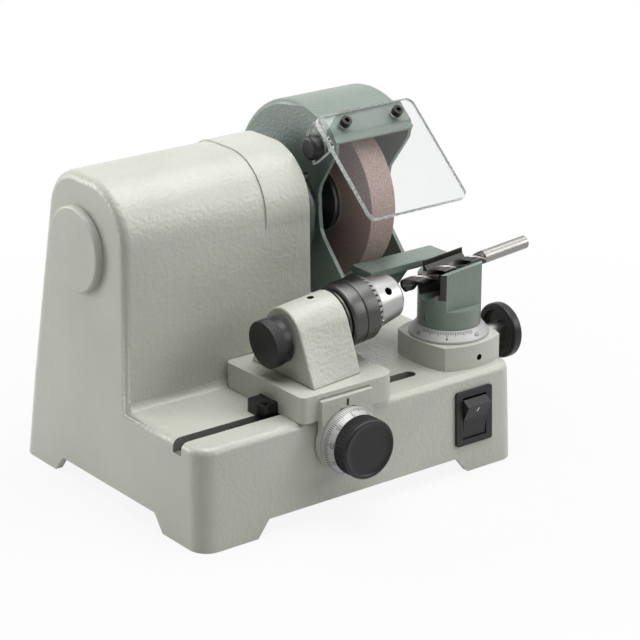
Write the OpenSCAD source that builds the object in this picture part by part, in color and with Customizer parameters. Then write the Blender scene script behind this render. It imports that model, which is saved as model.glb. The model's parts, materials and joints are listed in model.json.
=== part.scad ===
// Bench drill-bit grinder: cast base and motor housing, guarded wheel, sliding carriage with a
// tilted chuck spindle, and a swivel post whose vee holds a drill. Millimetres, +Z up.
// Pieces are drawn from the base's front left corner and then centred on the whole grinder's box.

/* [Base] */
// Width of the base, left to right
base_w = 300; // [290:1:330]
// Depth of the base, front to back
base_d = 247; // [240:1:270]
// Height of the table above the floor
table_z = 79; // [74:1:90]
// Thickness of the table
table_t = 9; // [8:0.5:11]
// Wall thickness of the casting
wall = 6; // [5:0.5:7]
// Radius of the base's upright corners
corner_r = 15; // [12:0.5:18]
// Radius of the rounded table edge
table_edge_r = 5.5; // [3:0.5:7]
// Height of the gap between the feet
foot_h = 13; // [9:0.5:16]
// Length of a foot at the floor
foot_l = 50; // [40:1:60]
// Width of the slot in the table
slot_w = 10.2; // [8:0.1:12]
// Distance of the slot from the front
slot_y = 31.4; // [29:0.1:34]

/* [Motor housing] */
// Front face of the housing, from the front of the base
housing_front = 96.5; // [96:0.5:99]
// Right end of the housing, from the right of the base
housing_from_right = 128; // [125:1:132]
// Top of the housing above the floor
housing_top = 246.5; // [240:0.5:256]
// Radius of the housing's rounded edge at its left end
housing_edge_r = 7; // [4:0.5:9]
// Radius of the fillet where the housing meets the table
housing_fillet_r = 6; // [4:0.5:6.5]
// Diameter of the cap on the left end
end_cap_d = 66; // [60:1:70]

/* [Motor and wheel] */
// Motor axis, from the front of the base
motor_y = 150; // [148:0.5:153]
// Motor axis above the floor
motor_z = 189; // [186:0.5:193]
// Diameter of the motor shaft in its bearings
shaft_d = 17; // [15:0.5:18]
// Diameter of the grinding wheel
wheel_d = 127; // [118:1:130]
// Thickness of the grinding wheel
wheel_w = 23.5; // [20:0.5:26]
// Diameter of the wheel flanges
wheel_flange_d = 51; // [46:1:56]

/* [Guard] */
// Inside and outside width of the guard along the shaft
guard_w = 75; // [72:1:80]
// Gap between the wheel and the guard's rim below the wheel
guard_clear = 3.4; // [3:0.1:5]
// Height of the guard's centre above the motor axis
guard_rise = 6.3; // [5:0.1:7]
// Thickness of the guard's walls
guard_t = 3.2; // [2.6:0.1:3.6]
// Slope of the shield and of the flat that carries it
shield_slope = 41.7; // [40:0.1:43]
// Width of the eye shield
shield_w = 93.5; // [88:0.5:98]
// Length of the eye shield along its slope
shield_l = 94; // [84:1:98]
// Thickness of the eye shield
shield_t = 4.5; // [3:0.1:5]
// Gap between the tool rest and the wheel
rest_gap = 2.5; // [2:0.1:4]

/* [Carriage] */
// Left face of the carriage plate, from the right of the base
carriage_from_right = 210; // [208:0.5:214]
// Length of the carriage plate along the slot
carriage_l = 87; // [84:0.5:90]
// Thickness of the carriage plate
carriage_t = 20.5; // [19:0.5:24]
// Pitch of the spindle, rising to the right
spindle_pitch = 6.35; // [5:0.05:7]
// Height of the spindle axis above the plate at the bracket's left face
spindle_h = 29.4; // [28:0.2:32]
// Length of the spindle bracket
bracket_l = 45.5; // [43:0.5:47]
// Radius of the bracket's arch
bracket_r = 23; // [21:0.2:24]
// Diameter of the spindle
spindle_d = 18; // [16:0.5:19]
// Diameter of the spindle knob
spindle_knob_d = 37; // [32:0.5:40]
// Diameter of the feed dial
feed_dial_d = 51.2; // [49:0.2:54]
// Diameter of the feed knob
feed_knob_d = 46.2; // [42:0.2:50]

/* [Chuck] */
// Diameter of the chuck sleeve
sleeve_d = 50.4; // [47:0.2:52]
// Length of the chuck sleeve without its toothed edge
sleeve_l = 25; // [23:0.5:27]
// Diameter of the chuck nose at its root
nose_d = 41; // [39:0.2:43]
// Length of the chuck nose
nose_l = 24.3; // [23:0.1:26]
// Diameter of a chuck jaw
jaw_d = 6.8; // [6:0.1:7.2]

/* [Swivel vee] */
// Swivel axis, from the right of the base
swivel_from_right = 32.74; // [32:0.02:33]
// Thickness of the swivel block
block_t = 19; // [17:0.5:21]
// Height of the graduated ring
ring_h = 9; // [7:0.5:10]
// Diameter of the vee post
post_d = 49.4; // [48:0.2:51]
// Height of the drill axis above the table, at the swivel axis
drill_h = 69.7; // [68:0.1:72]
// Pitch of the drill in the vee
drill_pitch = 4.8; // [4:0.1:6]
// Diameter of the drill
drill_d = 10.5; // [8:0.1:11]
// Length of the drill
drill_l = 126; // [110:1:130]
// Diameter of the clamp knob
clamp_knob_d = 44.4; // [40:0.2:48]

/* [Switch] */
// Width of the switch frame
switch_w = 35.5; // [32:0.5:38]
// Height of the switch frame
switch_h = 44; // [40:0.5:46]
// Middle of the switch, from the right side of the base
switch_from_right = 45; // [42:0.5:50]

/* [Hidden] */
$fn = 64;

// Clearances: between moving bodies, under slides, in running fits, and in seats of one body
gap = 0.3;
slide_gap = 0.2;
run = 0.05;
seat = 0.02;
// Thickness of the sections that a blended casting is drawn from
thin = 0.01;
// Overshoot of a cut past the face that it opens, and reach of a block that cuts all beyond a face
over = 1;
far = 200;

// Colours of the finishes
casting_grey = [0.70, 0.71, 0.66];
guard_green = [0.36, 0.43, 0.40];
steel = [0.75, 0.75, 0.76];
dark_steel = [0.24, 0.24, 0.25];
black = [0.10, 0.10, 0.10];

// Draft of the base's walls, as inset per height
front_draft = 0.035;
side_draft = 0.024;
rear_draft = 0.163;
front_angle = atan(front_draft);
side_angle = atan(side_draft);
rear_angle = atan(rear_draft);

// Places along the base
housing_right = base_w - housing_from_right;
carriage_x = base_w - carriage_from_right;
swivel_x = base_w - swivel_from_right;

// Arch of the housing: a front and a rear round under its top
arch_front_r = 44.5;
arch_rear_r = 36.5;
arch_front_y = housing_front + arch_front_r + 2;
arch_front_z = housing_top - arch_front_r;
arch_rear_y = arch_front_y + 23;
arch_rear_z = housing_top - arch_rear_r;
housing_sink = 12;
band_x = housing_right - 41;
band_rise = 1.2;
end_cap_y = motor_y + 9;
end_cap_lap = 4;
end_cap_t = 6;

// Screws: M5 cap screws and M4 pan and flat screws
m5_r = 2.5;
m5_head_r = 4.25;
m5_head_h = 5;
m5_socket_r = 2.3;
m4_r = 2;
m4_head_r = 3.6;
m4_head_h = 2.4;
m4_len = 12;

// Bottom cover and the posts that it is screwed to
cover_z = foot_h + 1;
cover_t = 1.5;
cover_post_r = 6;
cover_post_in = 20;
cover_posts = [for (x = [cover_post_in, base_w - cover_post_in],
  y = [wall + cover_post_r, base_d - (table_z - table_t) * rear_draft - wall - 2]) [x, y]];

// Motor along its axis, from the right end of the housing
neck_l = 23;
neck_r = 40;
outer_neck_r = 31;
guard_screw_r = 25.5;
flange_r = 50;
flange_t = 6;
flange_screw_r = 45.5;
spigot_l = wall + 6;
shell_r = 43;
shell_t = 2.8;
shell_l = 88;
shell_end = housing_right - spigot_l;
bell_t = 12;
winding_l = 12;
winding_gap = 2;
core_l = shell_l - 2 * (winding_l + winding_gap);
core_mid = shell_end - shell_l / 2;
stator_ir = 23;
air_gap = 0.4;
bearing_r = 20;
bearing_w = 12;
shaft_r = shaft_d / 2;
front_bearing_x = housing_right + 4;
rear_bearing_x = shell_end - shell_l - bell_t;
fan_l = 8;
fan_r = 34;
fan_x = rear_bearing_x - fan_l - 2;
capacitor_r = 18;
capacitor_l = 62;

// Cable gland, from the left of the base and above the floor
gland_x = 60;
gland_z = 44;
gland_r = 8;
gland_l = 14;
gland_tip_r = 7;
gland_nut_r = 11;

// Wheel stack along the shaft
guard_x = housing_right + neck_l;
wheel_x = guard_x + (guard_w - wheel_w) / 2 + 1;
blotter_t = 0.6;
blotter_r = wheel_flange_d / 2 + 1.5;
wheel_flange_t = 8;
arbor_r = 8;
collar_r = 11;
nut_w = 10;
inner_flange_x = wheel_x - blotter_t - wheel_flange_t;
outer_flange_x = wheel_x + wheel_w + blotter_t;
nut_x = outer_flange_x + wheel_flange_t;
shaft_end = nut_x + nut_w + over;

// Guard outline in Y and Z, drawn for a rim of one radius and scaled to the rim's real one
guard_r = wheel_d / 2 + guard_rise + guard_clear + guard_t;
guard_drawn_r = 76.4;
guard_scale = guard_r / guard_drawn_r;
guard_z = motor_z + guard_rise;
flat_w = 18.4;
flat_y = motor_y - 50.7 * guard_scale;
flat_z = guard_z + sqrt(pow(guard_r, 2) - pow(motor_y - flat_y, 2)) + 1.8;
lip_y = motor_y - 72 * guard_scale;
lip_z = motor_z - 55 * guard_scale;
bay_r = 6;
cover_boss_r = 5;
cover_boss_in = 7;
cover_boss_l = 10;
cover_boss_angles = [60, -10, -70, 128];

// Eye shield on the flat, and its side tab and knob
shield_over = (shield_w - guard_w) / 2;
shield_top = 17.9;
shield_corner_r = 6;
shield_screws = [for (s = [-1, 1]) [guard_w / 2 + s * 25, 7]];
tab_x = guard_x - shield_over;
tab_knob_y = flat_y + 7.7;
tab_knob_z = flat_z - 7.3;
tab_knob_r = 9.6;
tab_knob_l = 9;
tab_boss_r = 6;

// Axis of spindle and drill, from the front of the base
axis_y = 46;

// Tool rest under the front of the wheel
rest_z = motor_z - 39.5 * guard_scale;
rest_t = 5.4;
rest_x = guard_x + 17;
rest_l = 79;
rest_rear = motor_y - sqrt(pow(wheel_d / 2, 2) - pow(motor_z - rest_z, 2)) - rest_gap;
rest_front = axis_y + post_d / 2 + 2.8;
rest_web_t = 6;
rest_web_y = rest_rear - 18;
rest_web_h = 18;
rest_pad_t = 5;
rest_pad_l = 28;
rest_screws = [[11, 11], [21, 10]];

// Slot, key and carriage
slot_end = base_w - 79;
slot_r = slot_w / 2;
carriage_front = -0.8;
carriage_rear = housing_front - 0.6;
carriage_corner_r = 5;
front_corner_r = 12;
carriage_chamfer = housing_fillet_r + 0.5;
cross_feed = 2;
key_clear = 0.1;
lug_w = 20.5;
lug_h = 8.2;
lug_r = 7;
lug_out = 15.5;
lug_in = 12;
lug_y = slot_y - 1.4;
key_l = 70;
key_screw_x = carriage_x - 9;
key_screw_y = slot_y + 2.2;
rib_w = 12;
rib_l = 44;
rib_h = 5;
rib_x = carriage_x + 38;
rib_y = slot_y - 10;
key_screw_r = 2.5;
key_head_r = 4.2;
key_head_h = 5;
key_sink = 0.4;
key_nut_t = 8;
key_nut_w = 22;
key_nut_l = 22;

// Spindle, measured along its axis from the bracket's left face
plate_low = table_z + slide_gap;
plate_z = plate_low + carriage_t;
bracket_x = carriage_x + 16.5;
spindle_z = plate_z + spindle_h;
spindle_r = spindle_d / 2;
bracket_lean = 26.2;
bracket_lean_right = 11.5;
bracket_leg = 50;
bracket_past = 10;
bush_l = 14;
bush_t = 3;
bush_in = 4;
oil_hole_r = 2.7;
knob_face = -17.3;
knob_tilt = spindle_knob_d / 2 * sin(spindle_pitch);
knob_back = -knob_tilt - gap;
knurl_l = 8.5;
thrust_r = 22;
thrust_t = 2.8;
sleeve_s = bracket_l + 0.6 + thrust_t + gap;
sleeve_bore_r = 17;
teeth_l = 5;
nose_s = sleeve_s + sleeve_l + teeth_l + gap;
nose_end = nose_s + nose_l;
nose_taper = 3.4;
nose_chamfer = 2.2;
key_hole_r = 3.1;
key_hole_s = nose_s + 10.5;
key_hole_turn = 142;
jaw_turn = key_hole_turn - 60;
jaw_tilt = 14;
jaw_out = 4.4;
jaw_l = 29;
jaw_tip_in = 6.4;
jaw_face = 3.5;
grip_bore_r = 4;

// Feed bracket and dial, measured forward from the carriage
feed_x = carriage_x + 38;
feed_z = table_z - 18.5;
feed_plate_w = 47;
feed_plate_r = feed_dial_d / 2;
feed_plate_top = table_z + 16;
feed_plate_back = 0.4;
feed_plate_t = 5.4;
feed_plate_room = 1.2;
feed_screw_r = 5;
dial_rim = 4;
dial_l = 12.3;
dial_top_r = feed_knob_d / 2 - 0.5;
knob_l = 13.7;
feed_front = feed_plate_back - feed_plate_t;
dial_back = feed_front - gap;
knob_back_y = dial_back - dial_l;
feed_nose_y = (feed_z - feed_screw_r) * front_draft - gap;

// Swivel block, ring, post and vee
block_half = 32.6;
block_side_r = 80;
block_deep = 35.3;
block_front_r = 58;
ring_r = 31.2;
ring_rim = 2;
block_top = table_z + block_t;
ring_top = block_top + ring_h;
post_r = post_d / 2;
pivot_r = 12;
pivot_end_r = 9;
pivot_l = 14;
pivot_nut_t = 9;
pivot_nut_r = 15;
drill_z = table_z + drill_h;
drill_r = drill_d / 2;
post_flat = 17.3;
post_ledge_z = ring_top + 15;
vee_w = 27;
vee_bottom = 6;
vee_round_r = 12.2;
jaw_leg = 12;
jaw_leg_t = 4.5;
front_jaw_top = 4;
rear_jaw_top = 8.3;
vee_left = -15.5;
vee_right = 18.5;
rear_jaw_right = 23;
vee_rise = (drill_r + 2 * run) * sqrt(2);
block_screw_r = 28;

// Drill, measured along its axis from the swivel axis
drill_start = -48.5;
flute_l = 82;
drill_web = 0.36;
drill_turns = 2.4;

// Clamp knob on the block's right side
clamp_z = table_z + block_t / 2 - 1.7;
clamp_r = 5;
clamp_collar_r = 8;
clamp_knob_t = 9;
clamp_recess = 4;
clamp_rim = 5;
clamp_back = swivel_x + block_half + 16.9;

// Rocker switch
switch_x = base_w - switch_from_right;
switch_z = 45;
switch_rim = 2.4;
switch_body_w = 29;
switch_body_h = 37;
switch_body_l = 26;
rocker_w = 23;
rocker_h = 31.6;
rocker_tilt = 13;
rocker_ridge = 11.8;
rocker_out = 5.2;
rocker_dip = 2.4;
rocker_room = 1.2;
rocker_pit = 12;
rocker_pin_r = 1.5;
rocker_pin_l = 1.4;

// Sides of the whole grinder's box: end cap, drill, feed knob and cable gland
box_left = (motor_z - end_cap_d / 2) * side_draft - end_cap_t;
box_right = swivel_x + (drill_start + drill_l) * cos(drill_pitch) + drill_r * sin(drill_pitch);
box_front = knob_back_y - knob_l;
box_rear = base_d - gland_z * rear_draft + gland_l * cos(rear_angle) + gland_tip_r * sin(rear_angle);

// Centres the drawing on the whole grinder's box
module placed() {
  translate([-(box_left + box_right) / 2, -(box_front + box_rear) / 2, 0]) children();
}

// Turns a drawing so that its X, Y and Z run along Y, Z and X
module facing_right() {
  rotate([90, 0, 90]) children();
}

// Cylinder along X that starts at a point
module rod_x(at, r, l) {
  translate(at) rotate([0, 90, 0]) cylinder(r = r, h = l);
}

// Places a drawing on the drafted front wall, with its Z outwards
module on_front(x, z) {
  translate([x, z * front_draft, z]) rotate([90 - front_angle, 0, 0]) children();
}

// Places a drawing on the drafted left wall, with its Z outwards
module on_left(y, z) {
  translate([z * side_draft, y, z]) rotate([0, side_angle - 90, 0]) children();
}

// Places a drawing on the sloped rear wall, with its Z outwards
module on_rear(x, z) {
  translate([x, base_d - z * rear_draft, z]) rotate([rear_angle - 90, 0, 0]) children();
}

// Places a drawing on the spindle axis, with its Z along the axis
module on_spindle(s) {
  translate([bracket_x, axis_y, spindle_z]) rotate([0, -spindle_pitch, 0])
    facing_right() translate([0, 0, s]) children();
}

// Places a drawing on the drill axis, with its Z along the axis from the swivel axis
module on_drill(s) {
  translate([swivel_x, axis_y, drill_z]) rotate([0, -drill_pitch, 0])
    facing_right() translate([0, 0, s]) children();
}

// Places a drawing on the guard's sloped flat, with its Z outwards
module on_flat(u, v) {
  translate([guard_x, flat_y, flat_z]) rotate([shield_slope, 0, 0]) translate([u, v, 0]) children();
}

// Rectangle with round corners
module round_rect(w, h, r) {
  translate([r, 0]) square([w - 2 * r, h]);
  translate([0, r]) square([w, h - 2 * r]);
  for (x = [r, w - r], y = [r, h - r]) translate([x, y]) circle(r);
}

// Socket cap screw whose head sits on Z = 0
module cap_screw(r, head_r, head_h, len) {
  difference() {
    union() {
      cylinder(r = head_r, h = head_h);
      translate([0, 0, -len]) cylinder(r = r, h = len + head_h / 2);
    }
    translate([0, 0, head_h / 2]) cylinder(r = m5_socket_r * r / m5_r, h = head_h, $fn = 6);
  }
}

// Pan-head screw whose head sits on Z = 0
module pan_screw(len) {
  difference() {
    union() {
      cylinder(r = m4_head_r, h = m4_head_h);
      translate([0, 0, -len]) cylinder(r = m4_r, h = len + m4_head_h / 2);
    }
    for (a = [0, 90]) rotate(a) translate([-m4_r, -0.5, m4_head_h - 1]) cube([2 * m4_r, 1, 2]);
  }
}

// Countersunk screw whose head is flush with Z = 0
module flat_screw(len) {
  translate([0, 0, -m4_head_h]) cylinder(r1 = m4_r, r2 = m4_head_r, h = m4_head_h);
  translate([0, 0, -len]) cylinder(r = m4_r, h = len - m4_head_h);
}

// Hole for a countersunk screw
module flat_screw_hole(len) {
  translate([0, 0, -m4_head_h]) cylinder(r1 = m4_r + seat, r2 = m4_head_r + seat, h = m4_head_h + thin);
  translate([0, 0, -len - over]) cylinder(r = m4_r + seat, h = len);
}

// Section of the base at a height, e inside its outline
module base_slice(z, e) {
  for (x = [z * side_draft, base_w - z * side_draft], y = [z * front_draft, base_d - z * rear_draft])
    translate([x + corner_r * sign(base_w / 2 - x), y + corner_r * sign(base_d / 2 - y), z - thin])
      cylinder(r = corner_r - e, h = thin, $fn = 32);
}

// Section across the housing's arch, e inside its outline
module arch_slice(x, e) {
  for (c = [[arch_front_y, arch_front_z, arch_front_r], [arch_rear_y, arch_rear_z, arch_rear_r]])
    translate([x, c[0], c[1]]) rotate([0, 90, 0]) cylinder(r = c[2] - e, h = thin, $fn = 48);
}

// Section of the housing inside the table, e inside its outline; its left corners are round
module housing_foot(e) {
  z = table_z - housing_sink;
  rear = base_d - z * rear_draft;
  left = z * side_draft;
  translate([left + housing_edge_r + e, housing_front + housing_edge_r + e, z])
    cylinder(r = housing_edge_r, h = thin, $fn = 32);
  translate([left + corner_r, rear - corner_r, z]) cylinder(r = corner_r - e, h = thin, $fn = 32);
  translate([housing_right - thin - e, housing_front + e, z])
    cube([thin, rear - housing_front - 2 * e, thin]);
}

module base_outside() {
  hull() {
    base_slice(thin, 0);
    for (a = [0 : 30 : 90])
      base_slice(table_z - table_edge_r * (1 - sin(a)), table_edge_r * (1 - cos(a)));
  }
  hull() {
    for (a = [0 : 30 : 90]) rotate([0, side_angle, 0])
      arch_slice(housing_edge_r * (1 - sin(a)), housing_edge_r * (1 - cos(a)));
    arch_slice(housing_right - thin, 0);
    housing_foot(0);
  }
  // Raised band around the right end of the arch
  for (c = [[arch_front_y, arch_front_z, arch_front_r], [arch_rear_y, arch_rear_z, arch_rear_r]])
    rod_x([band_x, c[0], c[1]], c[2] + band_rise, housing_right - band_x - band_rise);
  translate([band_x, arch_front_y, housing_top - wall])
    cube([housing_right - band_x - band_rise, arch_rear_y - arch_front_y, wall + band_rise]);
  // Fillets where the housing meets the table
  translate([table_z * side_draft + housing_edge_r / 2, housing_front, table_z]) facing_right()
    linear_extrude(housing_right - table_z * side_draft - housing_edge_r / 2) fillet_shape(-1);
  translate([housing_right, base_d - table_z * rear_draft - corner_r, table_z]) rotate([90, 0, 0])
    linear_extrude(base_d - table_z * rear_draft - corner_r - housing_front) fillet_shape(1);
}

// Fillet section on one side of a wall, dipping into the table and the wall
module fillet_shape(side) {
  r = housing_fillet_r;
  difference() {
    translate([side > 0 ? -over : -r, -over]) square([r + over, r + over]);
    translate([side * r, r]) circle(r);
  }
}

// Gap between two feet, across the whole base
module foot_gap(from, to) {
  slant = 0.8 * foot_h;
  polygon([[from, -over], [from, 0], [from + slant, foot_h], [to - slant, foot_h], [to, 0], [to, -over]]);
}

module base_casting() {
  color(casting_grey) placed() difference() {
    union() {
      difference() {
        base_outside();
        hull() {
          base_slice(0, wall);
          base_slice(table_z - table_t, wall);
        }
        hull() {
          rotate([0, side_angle, 0]) arch_slice(wall, wall);
          arch_slice(housing_right - wall - thin, wall);
          housing_foot(wall);
        }
      }
      for (p = cover_posts) translate([p[0], p[1], cover_z + cover_t])
        cylinder(r = cover_post_r, h = table_z - table_t - cover_z - cover_t + over);
    }
    for (p = cover_posts) translate([p[0], p[1], cover_z]) cylinder(r = m4_r + seat, h = m4_len + over);
    // Gaps between the feet
    translate([0, base_d + over, 0]) rotate([90, 0, 0])
      linear_extrude(base_d + 2 * over) foot_gap(foot_l, base_w - foot_l);
    translate([-over, 0, 0]) facing_right()
      linear_extrude(base_w + 2 * over) foot_gap(foot_l, base_d - foot_l);
    // Slot with its open mouth on the left
    translate([-over, slot_y - slot_r, table_z - table_t - over])
      cube([slot_end - slot_r + over, slot_w, table_t + 2 * over]);
    translate([slot_end - slot_r, slot_y, table_z - table_t - over])
      cylinder(r = slot_r, h = table_t + 2 * over);
    // Pivot and block screws of the swivel
    translate([swivel_x, axis_y, table_z - table_t - over])
      cylinder(r = pivot_r + gap, h = table_t + 2 * over);
    at_block_screws() translate([0, 0, -table_t - over]) cylinder(r = m5_r + seat, h = table_t + 2 * over);
    // Motor opening and flange screws in the housing's right end
    rod_x([housing_right - wall - over, motor_y, motor_z], neck_r, wall + 2 * over);
    at_flange_screws() translate([0, 0, -2 * wall]) cylinder(r = m5_r + seat, h = 3 * wall);
    // End cap, cable gland and switch openings
    on_left(end_cap_y, motor_z) translate([0, 0, -wall - 2 * over])
      cylinder(r = end_cap_d / 2 - end_cap_lap, h = wall + 4 * over);
    on_rear(gland_x, gland_z) translate([0, 0, -wall - 2 * over]) cylinder(r = gland_r, h = wall + 4 * over);
    on_front(switch_x, switch_z) translate([-switch_body_w / 2, -switch_body_h / 2, -wall - 2 * over])
      cube([switch_body_w, switch_body_h, wall + 4 * over]);
  }
}

module end_cap() {
  color(casting_grey) placed() on_left(end_cap_y, motor_z) {
    rotate_extrude() polygon([[0, seat], [end_cap_d / 2, seat], [end_cap_d / 2, end_cap_t - 2],
      [end_cap_d / 2 - 0.8, end_cap_t - 0.6], [end_cap_d / 2 - 2.2, end_cap_t], [0, end_cap_t]]);
    translate([0, 0, -wall]) difference() {
      cylinder(r = end_cap_d / 2 - end_cap_lap - seat, h = wall + over);
      translate([0, 0, -over]) cylinder(r = end_cap_d / 2 - end_cap_lap - 3, h = wall + over - thin);
    }
  }
}

module bottom_cover() {
  in = wall + cover_z * rear_draft + 2 * gap;
  color(dark_steel) placed() difference() {
    translate([in, in, cover_z]) linear_extrude(cover_t)
      round_rect(base_w - 2 * in, base_d - 2 * in, corner_r - wall);
    for (p = cover_posts) translate([p[0], p[1], cover_z - over])
      cylinder(r = m4_r + seat, h = cover_t + 2 * over);
  }
}

// Screws of the bottom cover and of the guard's side cover
module cover_screws() {
  color(dark_steel) placed() {
    for (p = cover_posts) translate([p[0], p[1], cover_z]) rotate([180, 0, 0]) pan_screw(m4_len);
    at_cover_bosses() translate([0, 0, guard_t]) pan_screw(m4_len);
  }
}

// Places copies at the flange's screws, with Z outwards
module at_flange_screws() {
  for (a = [45 : 90 : 315]) translate([housing_right + flange_t, motor_y + flange_screw_r * cos(a),
    motor_z + flange_screw_r * sin(a)]) rotate([0, 90, 0]) children();
}

// Places copies at the screws that hold the guard on the neck
module at_guard_screws() {
  for (a = [30, 150, 270]) translate([guard_x + guard_t, motor_y + guard_screw_r * cos(a),
    motor_z + guard_screw_r * sin(a)]) rotate([0, 90, 0]) children();
}

// Places copies at the screws of the tool rest's pad
module at_rest_screws() {
  for (p = rest_screws) translate([guard_x + guard_t + rest_pad_t, rest_web_y + p[0],
    rest_z - rest_t - rest_web_h + p[1]]) rotate([0, 90, 0]) children();
}

// Places copies at the bosses of the guard's side cover
module at_cover_bosses() {
  r = guard_r - cover_boss_in;
  for (a = cover_boss_angles) translate([guard_x + guard_w - guard_t, motor_y + r * cos(a),
    guard_z + r * sin(a)]) rotate([0, 90, 0]) children();
}

// Places copies at the block's screws, with Z up from the table's top
module at_block_screws() {
  for (s = [-1, 1]) translate([swivel_x, axis_y + s * block_screw_r, table_z]) children();
}

// Socket cap screws of the flange, guard, shield and tool rest
module cap_screws() {
  color(black) placed() {
    at_flange_screws() cap_screw(m5_r, m5_head_r, m5_head_h, flange_t + wall);
    at_guard_screws() cap_screw(m5_r, m5_head_r, m5_head_h, guard_t + 10);
    at_rest_screws() cap_screw(m5_r, m5_head_r, m5_head_h, rest_pad_t + guard_t);
    for (p = shield_screws) on_flat(p[0], p[1]) translate([0, 0, shield_t])
      cap_screw(m5_r, m5_head_r, m5_head_h, shield_t + guard_t + 2);
  }
}

// Front motor flange with the neck that carries the guard
module motor_flange() {
  color(guard_green) placed() difference() {
    union() {
      rod_x([shell_end, motor_y, motor_z], neck_r - seat, spigot_l + flange_t / 2);
      rod_x([housing_right, motor_y, motor_z], outer_neck_r, neck_l);
      rod_x([housing_right, motor_y, motor_z], flange_r, flange_t);
    }
    rod_x([shell_end - over, motor_y, motor_z], collar_r + 1, spigot_l + neck_l + 2 * over);
    rod_x([shell_end - over, motor_y, motor_z], bearing_r - 4, front_bearing_x - shell_end + 2 * over);
    rod_x([front_bearing_x, motor_y, motor_z], bearing_r + seat, neck_l + spigot_l);
    at_flange_screws() translate([0, 0, -flange_t - over])
      cylinder(r = m5_r + seat, h = flange_t + 2 * over);
    at_guard_screws() translate([0, 0, -20]) cylinder(r = m5_r + seat, h = 20);
  }
}

module motor_shell() {
  color(dark_steel) placed() difference() {
    rod_x([shell_end - shell_l, motor_y, motor_z], shell_r, shell_l);
    rod_x([shell_end - shell_l - over, motor_y, motor_z], shell_r - shell_t, shell_l + 2 * over);
  }
}

module stator_core() {
  color(steel) placed() difference() {
    rod_x([core_mid - core_l / 2, motor_y, motor_z], shell_r - shell_t - seat, core_l);
    rod_x([core_mid - core_l / 2 - over, motor_y, motor_z], stator_ir, core_l + 2 * over);
  }
}

module stator_windings() {
  color([0.72, 0.42, 0.20]) placed() for (x = [core_mid - core_l / 2 - winding_l, core_mid + core_l / 2])
    translate([x, motor_y, motor_z]) rotate([0, 90, 0]) rotate_extrude()
      translate([stator_ir + 2, 0]) round_rect(12, winding_l, 3);
}

module rear_bell() {
  color(steel) placed() difference() {
    rod_x([rear_bearing_x, motor_y, motor_z], shell_r, bell_t);
    rod_x([rear_bearing_x - over, motor_y, motor_z], bearing_r + seat, bell_t + 2 * over);
  }
}

// Sealed ball bearing drawn as one ring
module bearing(x) {
  translate([x, motor_y, motor_z]) rotate([0, 90, 0]) difference() {
    cylinder(r = bearing_r, h = bearing_w);
    translate([0, 0, -over]) cylinder(r = shaft_r + run, h = bearing_w + 2 * over);
    for (z = [-over, bearing_w - 0.8]) translate([0, 0, z]) difference() {
      cylinder(r = bearing_r - 3, h = over + 0.8);
      cylinder(r = shaft_r + 3, h = over + 0.8);
    }
  }
}

module front_bearing() {
  color(steel) placed() bearing(front_bearing_x);
}

module rear_bearing() {
  color(steel) placed() bearing(rear_bearing_x);
}

// Capacitor lying on the bottom cover
module capacitor() {
  color(black) placed() translate([housing_right - 20, motor_y + 20, cover_z + cover_t + capacitor_r + seat])
    rotate([0, 90, 0]) {
      cylinder(r = capacitor_r, h = capacitor_l);
      for (y = [-5, 5]) translate([0, y, capacitor_l]) cylinder(r = 2.5, h = 8);
    }
}

// Cable gland in the rear wall
module cable_gland() {
  color(black) placed() on_rear(gland_x, gland_z) difference() {
    union() {
      cylinder(r = gland_nut_r, h = 4);
      rotate_extrude() polygon([[0, 3], [gland_tip_r + 2.5, 3], [gland_tip_r + 2, gland_l - 4],
        [gland_tip_r, gland_l], [0, gland_l]]);
      translate([0, 0, -wall - 6]) cylinder(r = gland_r - seat, h = wall + 6);
      translate([0, 0, -wall - 6]) cylinder(r = gland_nut_r, h = 5, $fn = 6);
    }
    translate([0, 0, -wall - 6 - over]) cylinder(r = 4, h = wall + 20 + 2 * over);
  }
}

module switch_frame() {
  color(black) placed() on_front(switch_x, switch_z) difference() {
    union() {
      translate([-switch_w / 2, -switch_h / 2, 0]) linear_extrude(switch_rim)
        round_rect(switch_w, switch_h, 2);
      translate([-switch_body_w / 2 + seat, -switch_body_h / 2 + seat, -switch_body_l])
        cube([switch_body_w - 2 * seat, switch_body_h - 2 * seat, switch_body_l + thin]);
    }
    translate([-rocker_w / 2 - gap, -rocker_h / 2 - rocker_room, -rocker_pit])
      cube([rocker_w + 2 * gap, rocker_h + 2 * rocker_room, rocker_pit + switch_rim + over]);
    rocker_pin(rocker_pin_r + run, rocker_pin_l + gap);
  }
}

// Pin across the rocker, standing out of both its sides by a length
module rocker_pin(r, out) {
  rod_x([-rocker_w / 2 - out, 0, 0], r, rocker_w + 2 * out);
}

// Rocker, tilted with its upper end out, on its pin in the frame
module rocker() {
  h = rocker_h / 2;
  color(black) placed() on_front(switch_x, switch_z) rotate([rocker_tilt, 0, 0]) {
    rocker_pin(rocker_pin_r, rocker_pin_l);
    rotate([0, 90, 0]) translate([0, 0, -rocker_w / 2]) rotate([0, 0, 90])
      linear_extrude(rocker_w) polygon([[-h, -2], [-rocker_ridge, rocker_out], [0, rocker_dip],
        [rocker_ridge, rocker_out], [h, -2], [h - 3, -5], [0, -8], [3 - h, -5]]);
  }
}

// Point of the guard's outline, from the motor axis
function guard_point(y, z) = [motor_y + y * guard_scale, motor_z + z * guard_scale];

// Pad under the shield, outside the guard's round
module guard_pad() {
  polygon([[flat_y, flat_z], [flat_y + flat_w * cos(shield_slope), flat_z + flat_w * sin(shield_slope)],
    guard_point(-20, 76.3), [motor_y, guard_z], guard_point(-50.7, 46.3)]);
}

// Lower front lip that carries the tool rest
module guard_lip() {
  polygon([guard_point(-38, -17), [lip_y, lip_z], guard_point(-22, -66), [motor_y, motor_z]]);
}

// Outline of the guard's side, without its front bay
module guard_side() {
  translate([motor_y, guard_z]) circle(guard_r);
  guard_pad();
  guard_lip();
}

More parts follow.
